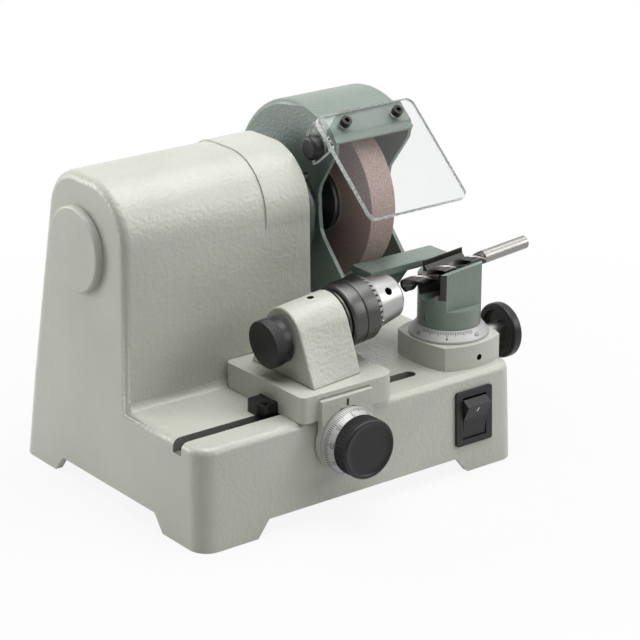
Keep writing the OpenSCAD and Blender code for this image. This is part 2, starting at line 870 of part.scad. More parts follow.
// Open bay at the front, where the wheel shows, set back by an amount above and below the axis
module guard_bay(upper, lower) {
  y = upper - 32;
  offset(r = bay_r) offset(delta = -bay_r)
    polygon([[flat_y - 2, flat_z - 3], [flat_y - 2 + upper / 2, flat_z - 14], guard_point(y - 2, 23),
      guard_point(y, 15), guard_point(y - 1, 0), guard_point(y - 2.5, -12), guard_point(lower - 38, -18),
      [lip_y + lower, lip_z], [lip_y - 30, lip_z], [lip_y - 30, flat_z - 3]]);
}

// Rim of the guard, as wide as its wall is thick
module guard_rim() {
  along = [cos(shield_slope), sin(shield_slope)];
  under = [flat_y + guard_t * along[1], flat_z - guard_t * along[0]];
  difference() {
    guard_side();
    guard_bay(0, 0);
    translate([motor_y, guard_z]) circle(guard_r - guard_t);
    polygon([under - 8 * along, under + (flat_w - guard_t) * along, guard_point(-24, 66.3),
      [motor_y, guard_z]]);
    polygon([guard_point(-112, -35), guard_point(-112, -95), guard_point(-24, -95), guard_point(-24, 0)]);
  }
}

module guard_body() {
  color(guard_green) placed() difference() {
    union() {
      translate([guard_x, 0, 0]) facing_right() linear_extrude(guard_t) difference() {
        guard_side();
        guard_bay(0, 0);
      }
      translate([guard_x, 0, 0]) facing_right() linear_extrude(guard_w - guard_t) guard_rim();
      at_cover_bosses() translate([0, 0, -cover_boss_l]) cylinder(r = cover_boss_r, h = cover_boss_l);
      for (p = shield_screws) on_flat(p[0], p[1]) translate([0, 0, -guard_t - 4])
        cylinder(r = 5, h = guard_t + 3);
      rod_x([tab_x + shield_t + seat, tab_knob_y, tab_knob_z], tab_boss_r, shield_over - shield_t + over);
    }
    rod_x([guard_x - over, motor_y, motor_z], collar_r + 1, guard_t + 2 * over);
    at_cover_bosses() translate([0, 0, -m4_len]) cylinder(r = m4_r + seat, h = m4_len + over);
    at_guard_screws() translate([0, 0, -guard_t - over]) cylinder(r = m5_r + seat, h = guard_t + 2 * over);
    at_rest_screws() translate([0, 0, -rest_pad_t - guard_t - over])
      cylinder(r = m5_r + seat, h = rest_pad_t + guard_t + over);
    for (p = shield_screws) on_flat(p[0], p[1]) translate([0, 0, -guard_t - 6])
      cylinder(r = m5_r + seat, h = guard_t + 8);
    rod_x([tab_x, tab_knob_y, tab_knob_z], m5_r + run, shield_over + guard_t + over);
  }
}

module guard_cover() {
  color(guard_green) placed() difference() {
    translate([guard_x + guard_w - guard_t, 0, 0]) facing_right() difference() {
      union() {
        linear_extrude(guard_t) translate([motor_y, guard_z]) circle(guard_r);
        linear_extrude(guard_t) guard_pad();
        linear_extrude(guard_t) guard_lip();
      }
      translate([0, 0, -over]) linear_extrude(guard_t + 2 * over) guard_bay(6, 14);
      translate([0, 0, -over]) linear_extrude(guard_t + 2 * over)
        polygon([guard_point(-112, -22), guard_point(-20, -67.5), guard_point(-20, -135),
          guard_point(-112, -135)]);
    }
    at_cover_bosses() translate([0, 0, -over]) cylinder(r = m4_r + seat, h = guard_t + 2 * over);
  }
}

// Clear pane on the guard's flat, with a tab down its left side
module eye_shield() {
  color([0.85, 0.9, 0.9, 0.4]) placed() difference() {
    union() {
      on_flat(-shield_over, shield_top - shield_l) linear_extrude(shield_t)
        round_rect(shield_w, shield_l, shield_corner_r);
      translate([tab_x, 0, 0]) facing_right() linear_extrude(shield_t)
        polygon([[flat_y - 6, flat_z - 5.1], [flat_y + 12, flat_z + 10.9], [flat_y + 22, flat_z],
          [flat_y + 13, flat_z - 23], [flat_y - 6, flat_z - 8]]);
    }
    for (p = shield_screws) on_flat(p[0], p[1]) translate([0, 0, -over])
      cylinder(r = m5_r + seat, h = shield_t + 2 * over);
    rod_x([tab_x - over, tab_knob_y, tab_knob_z], m5_r + gap, shield_t + 2 * over);
  }
}

// Domed thumb knob that holds the shield's tab
module shield_knob() {
  color(black) placed() translate([tab_x - gap, tab_knob_y, tab_knob_z]) rotate([0, -90, 0]) {
    rotate_extrude() polygon([[0, 0], [tab_knob_r, 0], [tab_knob_r, tab_knob_l - 3],
      [tab_knob_r - 1, tab_knob_l - 1], [tab_knob_r - 3, tab_knob_l], [0, tab_knob_l]]);
    translate([0, 0, -shield_over - guard_t]) cylinder(r = m5_r, h = shield_over + guard_t + over);
  }
}

// Rest plate in front of the wheel, on a web and pad bolted inside the guard
module tool_rest() {
  pad_z = rest_z - rest_t - rest_web_h;
  pad_x = guard_x + guard_t;
  color(guard_green) placed() difference() {
    union() {
      translate([rest_x, rest_front, rest_z - rest_t]) cube([rest_l, rest_rear - rest_front, rest_t]);
      translate([0, rest_web_y + rest_web_t, 0]) rotate([90, 0, 0]) linear_extrude(rest_web_t)
        polygon([[pad_x, pad_z], [rest_x + 26, pad_z], [rest_x + 26 + rest_web_h, rest_z - rest_t],
          [pad_x, rest_z - rest_t]]);
      translate([pad_x, rest_web_y, pad_z]) cube([rest_pad_t, rest_pad_l, rest_web_h]);
    }
    at_rest_screws() translate([0, 0, -rest_pad_t - over])
      cylinder(r = m5_r + seat, h = rest_pad_t + 2 * over);
  }
}

// Block with four bulging sides on the table, which carries the swivel
module swivel_block() {
  color(casting_grey) placed() difference() {
    translate([swivel_x, axis_y, table_z]) intersection() {
      translate([block_half - block_side_r, 0, 0]) cylinder(r = block_side_r, h = block_t);
      translate([block_side_r - block_half, 0, 0]) cylinder(r = block_side_r, h = block_t);
      translate([0, block_deep - block_front_r, 0]) cylinder(r = block_front_r, h = block_t);
      translate([0, block_front_r - block_deep, 0]) cylinder(r = block_front_r, h = block_t);
    }
    translate([swivel_x, axis_y, table_z - over]) cylinder(r = pivot_r + run, h = block_t + 2 * over);
    rod_x([swivel_x, axis_y, clamp_z], clamp_r + run, block_half + over);
    at_block_screws() translate([0, 0, -over]) cylinder(r = m5_r + seat, h = block_t - 2);
    translate([swivel_x + 1.2, axis_y - block_deep - over, clamp_z]) rotate([-90, 0, 0])
      cylinder(r = 2.4, h = 12);
  }
}

// Screws that hold the block from under the table
module block_screws() {
  color(dark_steel) placed() at_block_screws() translate([0, 0, -table_t]) rotate([180, 0, 0])
    cap_screw(m5_r, m5_head_r, m5_head_h, table_t + block_t - 6);
}

// Graduated conical ring under the post
module dial_ring() {
  color(steel) placed() translate([swivel_x, axis_y, block_top]) rotate_extrude()
    polygon([[pivot_r + run, 0], [ring_r, 0], [ring_r, ring_rim], [post_r + 1, ring_h],
      [pivot_r + run, ring_h]]);
}

// Stepped shaft of motor and wheel
module motor_shaft() {
  collar_x = front_bearing_x + bearing_w + 0.5;
  color(steel) placed() {
    rod_x([fan_x - 2, motor_y, motor_z], shaft_r, collar_x - fan_x + 2);
    rod_x([collar_x, motor_y, motor_z], collar_r, inner_flange_x - collar_x);
    rod_x([inner_flange_x, motor_y, motor_z], arbor_r, shaft_end - inner_flange_x);
  }
}

module rotor_core() {
  color(dark_steel) placed() difference() {
    rod_x([core_mid - core_l / 2, motor_y, motor_z], stator_ir - air_gap, core_l);
    rod_x([core_mid - core_l / 2 - over, motor_y, motor_z], shaft_r + seat, core_l + 2 * over);
  }
}

module cooling_fan() {
  color(black) placed() translate([fan_x, motor_y, motor_z]) rotate([0, 90, 0]) difference() {
    union() {
      cylinder(r = shaft_r + 5, h = fan_l);
      cylinder(r = fan_r, h = 1.5);
      for (a = [0 : 45 : 315]) rotate(a) translate([shaft_r + 2, -0.8, 0])
        cube([fan_r - shaft_r - 3, 1.6, fan_l]);
    }
    translate([0, 0, -over]) cylinder(r = shaft_r + seat, h = fan_l + 2 * over);
  }
}

// Wheel flange with a relieved face towards the wheel
module wheel_flange() {
  r = wheel_flange_d / 2;
  rotate_extrude() polygon([[arbor_r + seat, 0], [r * 0.62, 0], [r - 1, wheel_flange_t * 0.55],
    [r, wheel_flange_t * 0.7], [r, wheel_flange_t], [r * 0.6, wheel_flange_t],
    [r * 0.6, wheel_flange_t - 1], [arbor_r + seat, wheel_flange_t - 1]]);
}

module inner_flange() {
  color(dark_steel) placed() translate([inner_flange_x, motor_y, motor_z]) rotate([0, 90, 0])
    wheel_flange();
}

module outer_flange() {
  color(dark_steel) placed() translate([outer_flange_x + wheel_flange_t, motor_y, motor_z])
    rotate([0, -90, 0]) wheel_flange();
}

module grinding_wheel() {
  color([0.70, 0.53, 0.49]) placed() translate([wheel_x, motor_y, motor_z]) rotate([0, 90, 0])
    rotate_extrude() polygon([[arbor_r + seat, 0], [wheel_d / 2 - 0.6, 0], [wheel_d / 2, 0.6],
      [wheel_d / 2, wheel_w - 0.6], [wheel_d / 2 - 0.6, wheel_w], [arbor_r + seat, wheel_w]]);
}

module wheel_blotters() {
  color([0.55, 0.52, 0.45]) placed() for (x = [wheel_x - blotter_t, wheel_x + wheel_w])
    translate([x, motor_y, motor_z]) rotate([0, 90, 0]) difference() {
      cylinder(r = blotter_r, h = blotter_t);
      translate([0, 0, -over]) cylinder(r = arbor_r + seat, h = blotter_t + 2 * over);
    }
}

module wheel_nut() {
  color(dark_steel) placed() translate([nut_x, motor_y, motor_z]) rotate([0, 90, 0]) difference() {
    cylinder(r = 13.8, h = nut_w, $fn = 6);
    translate([0, 0, -over]) cylinder(r = arbor_r + seat, h = nut_w + 2 * over);
  }
}

// Key in the slot: bar, cross rib under the plate, and the lug that shows at its left
module slot_key() {
  bar_y = slot_y - slot_r + key_clear;
  bar_w = slot_w - 2 * key_clear;
  bar_top = plate_low - gap;
  color(black) placed() difference() {
    union() {
      translate([carriage_x, bar_y, table_z - table_t]) cube([key_l, bar_w, bar_top - table_z + table_t]);
      translate([carriage_x - lug_out, lug_y, plate_low]) linear_extrude(lug_h)
        round_rect(lug_out + lug_in - gap, lug_w, lug_r);
      translate([carriage_x, lug_y, bar_top - over])
        cube([lug_in - gap, bar_y + bar_w - lug_y, over + lug_h]);
      translate([rib_x - rib_w / 2, rib_y, plate_low]) cube([rib_w, rib_l, rib_h]);
      translate([rib_x - rib_w / 2, bar_y, bar_top - over]) cube([rib_w, bar_w, over + rib_h]);
    }
    translate([key_screw_x, key_screw_y, plate_low - over])
      cylinder(r = key_screw_r + seat, h = lug_h + 2 * over);
    translate([key_screw_x, key_screw_y, plate_low + lug_h - key_head_h - key_sink])
      cylinder(r = key_head_r + seat, h = key_head_h + over);
  }
}

// Socket screw that clamps the key
module key_screw() {
  color(black) placed() translate([key_screw_x, key_screw_y, plate_low + lug_h - key_head_h - key_sink])
    cap_screw(key_screw_r, key_head_r, key_head_h, table_t + lug_h - key_head_h + key_nut_t);
}

// Clamp nut under the table
module key_nut() {
  color(dark_steel) placed() translate([key_screw_x, key_screw_y, table_z - table_t - gap - key_nut_t])
    difference() {
      translate([-key_nut_l / 2, -key_nut_w / 2, 0]) cube([key_nut_l, key_nut_w, key_nut_t]);
      translate([0, 0, -over]) cylinder(r = key_screw_r + seat, h = key_nut_t + 2 * over);
    }
}

// Places copies at the screws that hold the spindle bracket, with Z down from the plate's bottom
module at_bracket_screws() {
  for (x = [8, bracket_l - 8], y = [-20, 20]) translate([bracket_x + x, axis_y + y, plate_low])
    rotate([180, 0, 0]) children();
}

// Places copies at the screws that hold the feed bracket, with Z forwards
module at_feed_screws() {
  for (x = [-5, 5]) translate([feed_x + x, feed_front, plate_low + 3.2]) rotate([90, 0, 0]) children();
}

module bracket_screws() {
  color(dark_steel) placed() {
    at_bracket_screws() flat_screw(carriage_t + 8);
    at_feed_screws() flat_screw(feed_plate_t + 8);
  }
}

// Plan of the plate, with a larger round at its front right corner
module plate_plan(depth) {
  difference() {
    round_rect(carriage_l, depth, carriage_corner_r);
    translate([carriage_l - front_corner_r, 0]) difference() {
      translate([0, -over]) square(front_corner_r + over);
      translate([0, front_corner_r]) circle(front_corner_r);
    }
  }
}

// Plate that slides on the table, chamfered behind to clear the housing's fillet
module carriage_plate() {
  low = plate_low;
  depth = carriage_rear - carriage_front;
  color(casting_grey) placed() difference() {
    intersection() {
      translate([carriage_x, carriage_front, low]) linear_extrude(carriage_t)
        plate_plan(depth);
      translate([carriage_x, 0, low]) facing_right() linear_extrude(carriage_l)
        polygon([[carriage_front, 0], [carriage_rear - carriage_chamfer, 0],
          [carriage_rear, carriage_chamfer], [carriage_rear, carriage_t], [carriage_front, carriage_t]]);
    }
    // Groove for the key's rib, notch for its lug, seat for the feed bracket
    translate([rib_x - rib_w / 2 - key_clear, rib_y - gap, low - over])
      cube([rib_w + 2 * key_clear, rib_l + cross_feed + 2 * gap, rib_h + over + gap]);
    translate([carriage_x - over, lug_y - gap, low - over])
      cube([lug_in + over, lug_w + cross_feed + 2 * gap, lug_h + over + gap]);
    translate([feed_x - feed_plate_w / 2 - seat, carriage_front - over, low - over])
      cube([feed_plate_w + 2 * seat, feed_plate_back - carriage_front + over,
        feed_plate_top + feed_plate_room - low + over]);
    at_bracket_screws() flat_screw_hole(carriage_t + 8);
    at_feed_screws() flat_screw_hole(feed_plate_t + 8);
  }
}

// Thin section of the bracket: an arch whose legs lean outwards
module bracket_section(lean) {
  x = bracket_r * cos(lean);
  y = bracket_r * sin(lean);
  foot = x + (bracket_leg + y) * tan(lean);
  cylinder(r = bracket_r, h = thin, $fn = 48);
  linear_extrude(thin) polygon([[-x, y], [x, y], [foot, -bracket_leg], [-foot, -bracket_leg]]);
}

// Upright casting whose arch follows the pitched spindle
module spindle_bracket() {
  color(casting_grey) placed() difference() {
    intersection() {
      hull() {
        on_spindle(-bracket_past) bracket_section(bracket_lean);
        on_spindle(bracket_l + bracket_past) bracket_section(bracket_lean_right);
      }
      translate([bracket_x, axis_y - far / 2, plate_z]) cube(far);
      on_spindle(-bracket_past) translate([-far / 2, -far / 2, 0]) cube([far, far, bracket_past + bracket_l]);
    }
    on_spindle(-25) cylinder(r = spindle_r + bush_t + seat, h = bracket_l + 50);
    on_spindle(bracket_l / 2 + 6) rotate([-90, 0, 0]) cylinder(r = oil_hole_r, h = bracket_r + 2);
    at_bracket_screws() flat_screw_hole(carriage_t + 8);
  }
}

// Two bronze bushes in the bracket
module spindle_bushes() {
  color([0.72, 0.55, 0.28]) placed() for (s = [bush_in, bracket_l - bush_l]) on_spindle(s) difference() {
    cylinder(r = spindle_r + bush_t, h = bush_l);
    translate([0, 0, -over]) cylinder(r = spindle_r + run, h = bush_l + 2 * over);
  }
}

// Plate that hangs in front of the base and carries the feed dial
module feed_bracket() {
  color(casting_grey) placed() difference() {
    translate([feed_x, feed_plate_back, feed_z]) rotate([90, 0, 0]) linear_extrude(feed_plate_t) {
      circle(feed_plate_r);
      translate([-feed_plate_w / 2, 0]) square([feed_plate_w, feed_plate_top - feed_z]);
    }
    translate([feed_x, feed_plate_back + over, feed_z]) rotate([90, 0, 0])
      cylinder(r = feed_screw_r + run, h = feed_plate_t + 2 * over);
    at_feed_screws() flat_screw_hole(feed_plate_t + 8);
  }
}

// Screw of the feed dial, its nose just short of the base's front wall
module feed_screw() {
  color(steel) placed() translate([feed_x, feed_nose_y, feed_z]) rotate([90, 0, 0])
    cylinder(r = feed_screw_r, h = feed_nose_y - knob_back_y + knob_l - 4);
}

// Graduated silver dial
module feed_dial() {
  r = feed_dial_d / 2;
  color(steel) placed() translate([feed_x, dial_back, feed_z]) rotate([90, 0, 0])
    rotate_extrude() polygon([[feed_screw_r + seat, 0], [r, 0], [r, dial_rim], [dial_top_r, dial_l],
      [feed_screw_r + seat, dial_l]]);
}

// Black knob with a dished face
module feed_knob() {
  r = feed_knob_d / 2;
  color(black) placed() translate([feed_x, knob_back_y, feed_z]) rotate([90, 0, 0]) difference() {
    rotate_extrude() polygon([[0, 0], [r - 0.5, 0], [r, 0.5], [r, knob_l - 1.2], [r - 1.2, knob_l],
      [r - 4, knob_l], [r - 4.6, knob_l - 1.4], [0, knob_l - 1.4]]);
    translate([0, 0, -over]) cylinder(r = feed_screw_r + seat, h = knob_l - 4 + over + seat);
  }
}

module spindle() {
  color(steel) placed() on_spindle(knob_face + 3) cylinder(r = spindle_r, h = nose_s - 10 - knob_face - 3);
}

// Black knob with a knurled band and a smooth collar
module spindle_knob() {
  r = spindle_knob_d / 2;
  l = knob_back - knob_face;
  color(black) placed() on_spindle(knob_face) difference() {
    rotate_extrude() polygon([[0, 0], [r - 0.7, 0], [r, 0.7], [r, knurl_l], [r - 0.8, knurl_l + 0.6],
      [r - 0.8, l], [0, l]]);
    translate([0, 0, 3 - seat]) cylinder(r = spindle_r + seat, h = l);
  }
}

// Flange between bracket and chuck
module thrust_ring() {
  color(dark_steel) placed() on_spindle(bracket_l + gap) difference() {
    union() {
      cylinder(r = thrust_r - 2, h = thrust_t);
      translate([0, 0, 1]) cylinder(r = thrust_r, h = thrust_t - 1);
    }
    translate([0, 0, -over]) cylinder(r = spindle_r + seat, h = thrust_t + 2 * over);
  }
}

// Places a drawing on the axis of one chuck jaw, with Z towards the nose
module on_jaw(i) {
  on_spindle(nose_end + jaw_out) rotate(jaw_turn + 120 * i) translate([jaw_tip_in, 0, 0])
    rotate([0, -jaw_tilt, 0]) children();
}

// Chuck body: hub inside the sleeve and the tapered nose with its key holes
module chuck_body() {
  rear = bracket_l + gap + thrust_t;
  hub = nose_s - rear;
  r = nose_d / 2;
  tip = r - nose_taper;
  color(steel) placed() difference() {
    on_spindle(rear) rotate_extrude() polygon([[0, 0], [sleeve_bore_r - run, 0], [sleeve_bore_r - run, hub],
      [r, hub], [tip, hub + nose_l - nose_chamfer], [tip - nose_chamfer, hub + nose_l], [0, hub + nose_l]]);
    on_spindle(rear - over) cylinder(r = spindle_r + seat, h = hub - 10 + over + seat);
    on_spindle(nose_s - 4) cylinder(r = grip_bore_r, h = nose_l + 10);
    for (i = [0 : 2]) {
      on_jaw(i) translate([0, 0, -jaw_l - 0.5]) cylinder(r = jaw_d / 2 + run, h = jaw_l + 10);
      on_spindle(key_hole_s) rotate(key_hole_turn + 120 * i) rotate([0, 90, 0])
        translate([0, 0, grip_bore_r + 6]) cylinder(r = key_hole_r, h = 20);
    }
  }
}

// Sleeve with a grooved grip and a bevelled toothed edge
module chuck_sleeve() {
  r = sleeve_d / 2;
  mid = sleeve_l / 2;
  color(dark_steel) placed() on_spindle(sleeve_s) rotate_extrude()
    polygon([[sleeve_bore_r, 0], [r - 1.5, 0], [r, 1.5], [r, mid - 0.4], [r - 0.6, mid], [r, mid + 0.4],
      [r, sleeve_l - 0.6], [r - 0.8, sleeve_l], [r - 3.4, sleeve_l + teeth_l],
      [sleeve_bore_r, sleeve_l + teeth_l]]);
}

// One slanted jaw with a flat that faces the axis
module chuck_jaw(i) {
  difference() {
    on_jaw(i) translate([0, 0, -jaw_l]) cylinder(r = jaw_d / 2, h = jaw_l + 5);
    on_spindle(nose_end - 40) rotate(jaw_turn + 120 * i) translate([jaw_face - 10, -10, 0])
      cube([10, 20, 60]);
    on_spindle(nose_end + jaw_out) translate([-30, -30, 0]) cube([60, 60, 10]);
  }
}

module chuck_jaw_1() {
  color(dark_steel) placed() chuck_jaw(0);
}

module chuck_jaw_2() {
  color(dark_steel) placed() chuck_jaw(1);
}

module chuck_jaw_3() {
  color(dark_steel) placed() chuck_jaw(2);
}

// Green post with a front flat, a pitched top and the channel for the vee jaws
module vee_post() {
  bottom = ring_top + gap;
  h = vee_w / 2;
  color(guard_green) placed() difference() {
    union() {
      translate([swivel_x, axis_y, bottom]) cylinder(r = post_r, h = 60);
      translate([swivel_x, axis_y, table_z - table_t - gap])
        cylinder(r = pivot_r, h = bottom - table_z + table_t + 2);
      translate([swivel_x, axis_y, table_z - table_t - pivot_l]) cylinder(r = pivot_end_r, h = pivot_l + 1);
    }
    translate([swivel_x - 50, axis_y - post_flat - 50, post_ledge_z]) cube([100, 50, 100]);
    // Pitched top, lower behind where the rear jaw sits on the shoulder
    on_drill(-60) translate([-60, front_jaw_top + 0.6]) cube([120, 60, 120]);
    on_drill(-60) translate([0, -2]) cube([60, 60, 120]);
    on_drill(-60) linear_extrude(120) polygon([[-h, 60], [-h, -jaw_leg], [jaw_leg_t - h, -jaw_leg],
      [jaw_leg_t - h, -vee_bottom], [h, -vee_bottom], [h, 60]]);
    on_drill(-60) translate([0, -vee_bottom]) cylinder(r = vee_round_r, h = 120);
  }
}

// Hardened jaws that form the vee: the rear one stands higher
module vee_jaws() {
  h = vee_w / 2;
  low = vee_bottom;
  color(dark_steel) placed() on_drill(vee_left) {
    linear_extrude(vee_right - vee_left) polygon([[-h, front_jaw_top],
      [-vee_rise - front_jaw_top, front_jaw_top], [low - vee_rise, -low],
      [jaw_leg_t - h, -low], [jaw_leg_t - h, -jaw_leg], [-h, -jaw_leg]]);
    linear_extrude(rear_jaw_right - vee_left) polygon([[h, rear_jaw_top - 1], [h - 1, rear_jaw_top],
      [vee_rise + front_jaw_top, rear_jaw_top], [vee_rise + front_jaw_top, front_jaw_top],
      [vee_rise - low, -low], [h, -low]]);
  }
}

// Nut that holds the post under the table
module pivot_nut() {
  color(dark_steel) placed() translate([swivel_x, axis_y, table_z - table_t - gap - pivot_nut_t])
    difference() {
      cylinder(r = pivot_nut_r, h = pivot_nut_t, $fn = 6);
      translate([0, 0, -over]) cylinder(r = pivot_end_r + seat, h = pivot_nut_t + 2 * over);
    }
}

// Bright stud of the clamp knob
module clamp_stud() {
  start = swivel_x + pivot_r + gap;
  collar = swivel_x + block_half + gap;
  color(steel) placed() {
    rod_x([start, axis_y, clamp_z], clamp_r, clamp_back + clamp_knob_t - 3 - start);
    translate([collar, axis_y, clamp_z]) rotate([0, 90, 0]) difference() {
      cylinder(r1 = clamp_collar_r - 1, r2 = clamp_collar_r, h = clamp_back + clamp_recess - collar);
      translate([0, 0, -over]) cylinder(r = clamp_r - thin, h = 60);
    }
  }
}

// Black hand knob, hollow at the back
module clamp_knob() {
  r = clamp_knob_d / 2;
  t = clamp_knob_t;
  color(black) placed() translate([clamp_back, axis_y, clamp_z]) rotate([0, 90, 0]) difference() {
    rotate_extrude() polygon([[0, clamp_recess], [r - clamp_rim - 1, clamp_recess], [r - clamp_rim, 0],
      [r - 1, 0], [r, 1], [r, t - 2], [r - 2, t], [0, t]]);
    translate([0, 0, -over]) cylinder(r = clamp_r + seat, h = t - 3 + over + seat);
  }
}

// Twist drill lying in the vee, point towards the chuck
module drill_bit() {
  point = drill_r * 0.6;
  color(dark_steel) placed() on_drill(drill_start) {
    intersection() {
      linear_extrude(flute_l, twist = -360 * drill_turns, slices = 32) difference() {
        circle(drill_r, $fn = 16);
        for (s = [-1, 1]) translate([s * drill_r * (0.62 + drill_web), s * drill_r * 0.25])
          circle(drill_r * 0.62, $fn = 12);
      }
      union() {
        cylinder(r1 = 0.3, r2 = drill_r, h = point);
        translate([0, 0, point]) cylinder(r = drill_r + over, h = flute_l);
      }
    }
    translate([0, 0, flute_l - over]) cylinder(r = drill_r, h = drill_l - flute_l + over);
  }
}

base_casting();
end_cap();
bottom_cover();
cover_screws();
motor_flange();
cap_screws();
motor_shell();
stator_core();
stator_windings();
rear_bell();
front_bearing();
rear_bearing();
capacitor();
cable_gland();
switch_frame();
guard_body();
guard_cover();
eye_shield();
tool_rest();
swivel_block();
block_screws();
dial_ring();
motor_shaft();
rotor_core();
cooling_fan();
inner_flange();
outer_flange();
grinding_wheel();
wheel_blotters();
wheel_nut();
slot_key();
key_screw();
key_nut();
carriage_plate();
spindle_bracket();
bracket_screws();
spindle_bushes();
feed_bracket();
feed_screw();
feed_dial();
feed_knob();
spindle();
spindle_knob();
thrust_ring();
chuck_body();
chuck_sleeve();
chuck_jaw_1();
chuck_jaw_2();
chuck_jaw_3();
vee_post();
vee_jaws();
pivot_nut();
clamp_stud();
clamp_knob();
rocker();
shield_knob();
drill_bit();
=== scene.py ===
"""Looks of the bench drill-bit grinder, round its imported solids. Metres, +Z up, the solids' own frame."""
import json
from math import atan2, cos, hypot, pi, radians, sin, tan

import bmesh
import bpy
from mathutils import Matrix, Vector


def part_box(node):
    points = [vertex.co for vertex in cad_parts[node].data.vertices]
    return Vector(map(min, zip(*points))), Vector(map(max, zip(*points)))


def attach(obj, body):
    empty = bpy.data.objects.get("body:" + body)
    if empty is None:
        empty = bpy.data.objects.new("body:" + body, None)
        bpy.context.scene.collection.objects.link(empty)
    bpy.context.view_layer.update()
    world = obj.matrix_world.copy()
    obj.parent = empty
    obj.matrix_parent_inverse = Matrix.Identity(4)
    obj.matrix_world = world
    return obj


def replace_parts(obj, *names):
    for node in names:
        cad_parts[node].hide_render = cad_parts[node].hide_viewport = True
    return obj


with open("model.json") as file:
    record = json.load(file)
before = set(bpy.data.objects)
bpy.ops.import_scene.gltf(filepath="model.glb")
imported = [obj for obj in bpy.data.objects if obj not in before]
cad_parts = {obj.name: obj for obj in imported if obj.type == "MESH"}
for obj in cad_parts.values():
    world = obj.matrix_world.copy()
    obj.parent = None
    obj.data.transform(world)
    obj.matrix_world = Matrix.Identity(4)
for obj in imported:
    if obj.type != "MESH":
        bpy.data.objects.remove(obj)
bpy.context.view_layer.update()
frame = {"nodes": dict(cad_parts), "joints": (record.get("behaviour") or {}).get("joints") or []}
MM = 0.001
JOINTS = {j["name"]: j for j in frame["joints"]}


# Node helpers
def new_material(name):
    mat = bpy.data.materials.new(name)
    mat.use_nodes = True
    return mat, mat.node_tree, mat.node_tree.nodes["Principled BSDF"]


def add(tree, kind, **values):
    node = tree.nodes.new(kind)
    for key, value in values.items():
        if key in node.inputs:
            node.inputs[key].default_value = value
        else:
            setattr(node, key, value)
    return node


def noise(tree, scale, detail=2.0, roughness=0.5, stretch=None, turn=None):
    """Noise in the piece's own coordinates; stretch and turn reshape them first."""
    coords = add(tree, "ShaderNodeTexCoord")
    texture = add(tree, "ShaderNodeTexNoise", Scale=scale, Detail=detail, Roughness=roughness)
    if stretch:
        mapping = add(tree, "ShaderNodeMapping", Scale=stretch, Rotation=turn or (0, 0, 0))
        tree.links.new(coords.outputs["Object"], mapping.inputs["Vector"])
        tree.links.new(mapping.outputs["Vector"], texture.inputs["Vector"])
    else:
        tree.links.new(coords.outputs["Object"], texture.inputs["Vector"])
    return texture.outputs["Fac"]


def ramp(tree, value, stops):
    node = add(tree, "ShaderNodeValToRGB")
    while len(node.color_ramp.elements) < len(stops):
        node.color_ramp.elements.new(0.5)
    for element, (place, colour) in zip(node.color_ramp.elements, stops):
        element.position = place
        element.color = (*colour, 1)
    tree.links.new(value, node.inputs["Fac"])
    return node.outputs["Color"]


def spread(tree, value, low, high, start=0.3, stop=0.7):
    """Brings a value from the range start to stop into the range low to high."""
    limits = {"From Min": start, "From Max": stop, "To Min": low, "To Max": high}
    node = add(tree, "ShaderNodeMapRange", **limits)
    tree.links.new(value, node.inputs["Value"])
    return node.outputs["Result"]


def bump(tree, height, strength, distance, under=None):
    node = add(tree, "ShaderNodeBump", Strength=strength, Distance=distance)
    tree.links.new(height, node.inputs["Height"])
    if under:
        tree.links.new(under, node.inputs["Normal"])
    return node.outputs["Normal"]


def shade(colour, factor):
    return tuple(c * factor for c in colour)


def tint(tree, bsdf, value, colour, low, high, start=0.3, stop=0.7):
    """Base colour that runs from low to high times a colour as the value runs from start to stop."""
    stops = [(start, shade(colour, low)), (stop, shade(colour, high))]
    tree.links.new(ramp(tree, value, stops), bsdf.inputs["Base Color"])


# Materials
def hammered_paint(name, colour, lump, strength):
    """Thick paint with soft lumps, a finer orange peel and slow changes of tone."""
    mat, tree, bsdf = new_material(name)
    tint(tree, bsdf, noise(tree, 16, 3), colour, 0.95, 1.05)
    lumps = noise(tree, lump, 2, 0.45)
    peel = noise(tree, lump * 4, 2, 0.5)
    coarse = bump(tree, lumps, strength, 0.0012)
    tree.links.new(bump(tree, peel, strength * 0.5, 0.0003, coarse), bsdf.inputs["Normal"])
    tree.links.new(spread(tree, lumps, 0.28, 0.44), bsdf.inputs["Roughness"])
    bsdf.inputs["Coat Weight"].default_value = 0.12
    bsdf.inputs["Coat Roughness"].default_value = 0.25
    return mat


def turned_metal(name, colour, rough, turn, lines=2600.0, strength=0.12, metal=1.0):
    """Metal with fine lathe marks round the axis that turn brings to Z."""
    mat, tree, bsdf = new_material(name)
    bsdf.inputs["Metallic"].default_value = metal
    marks = noise(tree, 1.0, 3, 0.6, (12, 12, lines), turn)
    cloud = noise(tree, 45, 3)
    tint(tree, bsdf, marks, colour, 0.86, 1.06, 0.25, 0.75)
    tree.links.new(spread(tree, cloud, rough - 0.05, rough + 0.07), bsdf.inputs["Roughness"])
    tree.links.new(bump(tree, marks, strength, 0.0001), bsdf.inputs["Normal"])
    return mat


def moulded(name, colour, rough, grain=1500.0, strength=0.15):
    """Black plastic or oxide with a fine grain and slightly uneven gloss."""
    mat, tree, bsdf = new_material(name)
    fine = noise(tree, grain, 2)
    cloud = noise(tree, 60, 2)
    tint(tree, bsdf, cloud, colour, 0.8, 1.25)
    tree.links.new(spread(tree, cloud, rough - 0.06, rough + 0.06), bsdf.inputs["Roughness"])
    tree.links.new(bump(tree, fine, strength, 0.0001), bsdf.inputs["Normal"])
    bsdf.inputs["Specular IOR Level"].default_value = 0.36
    return mat


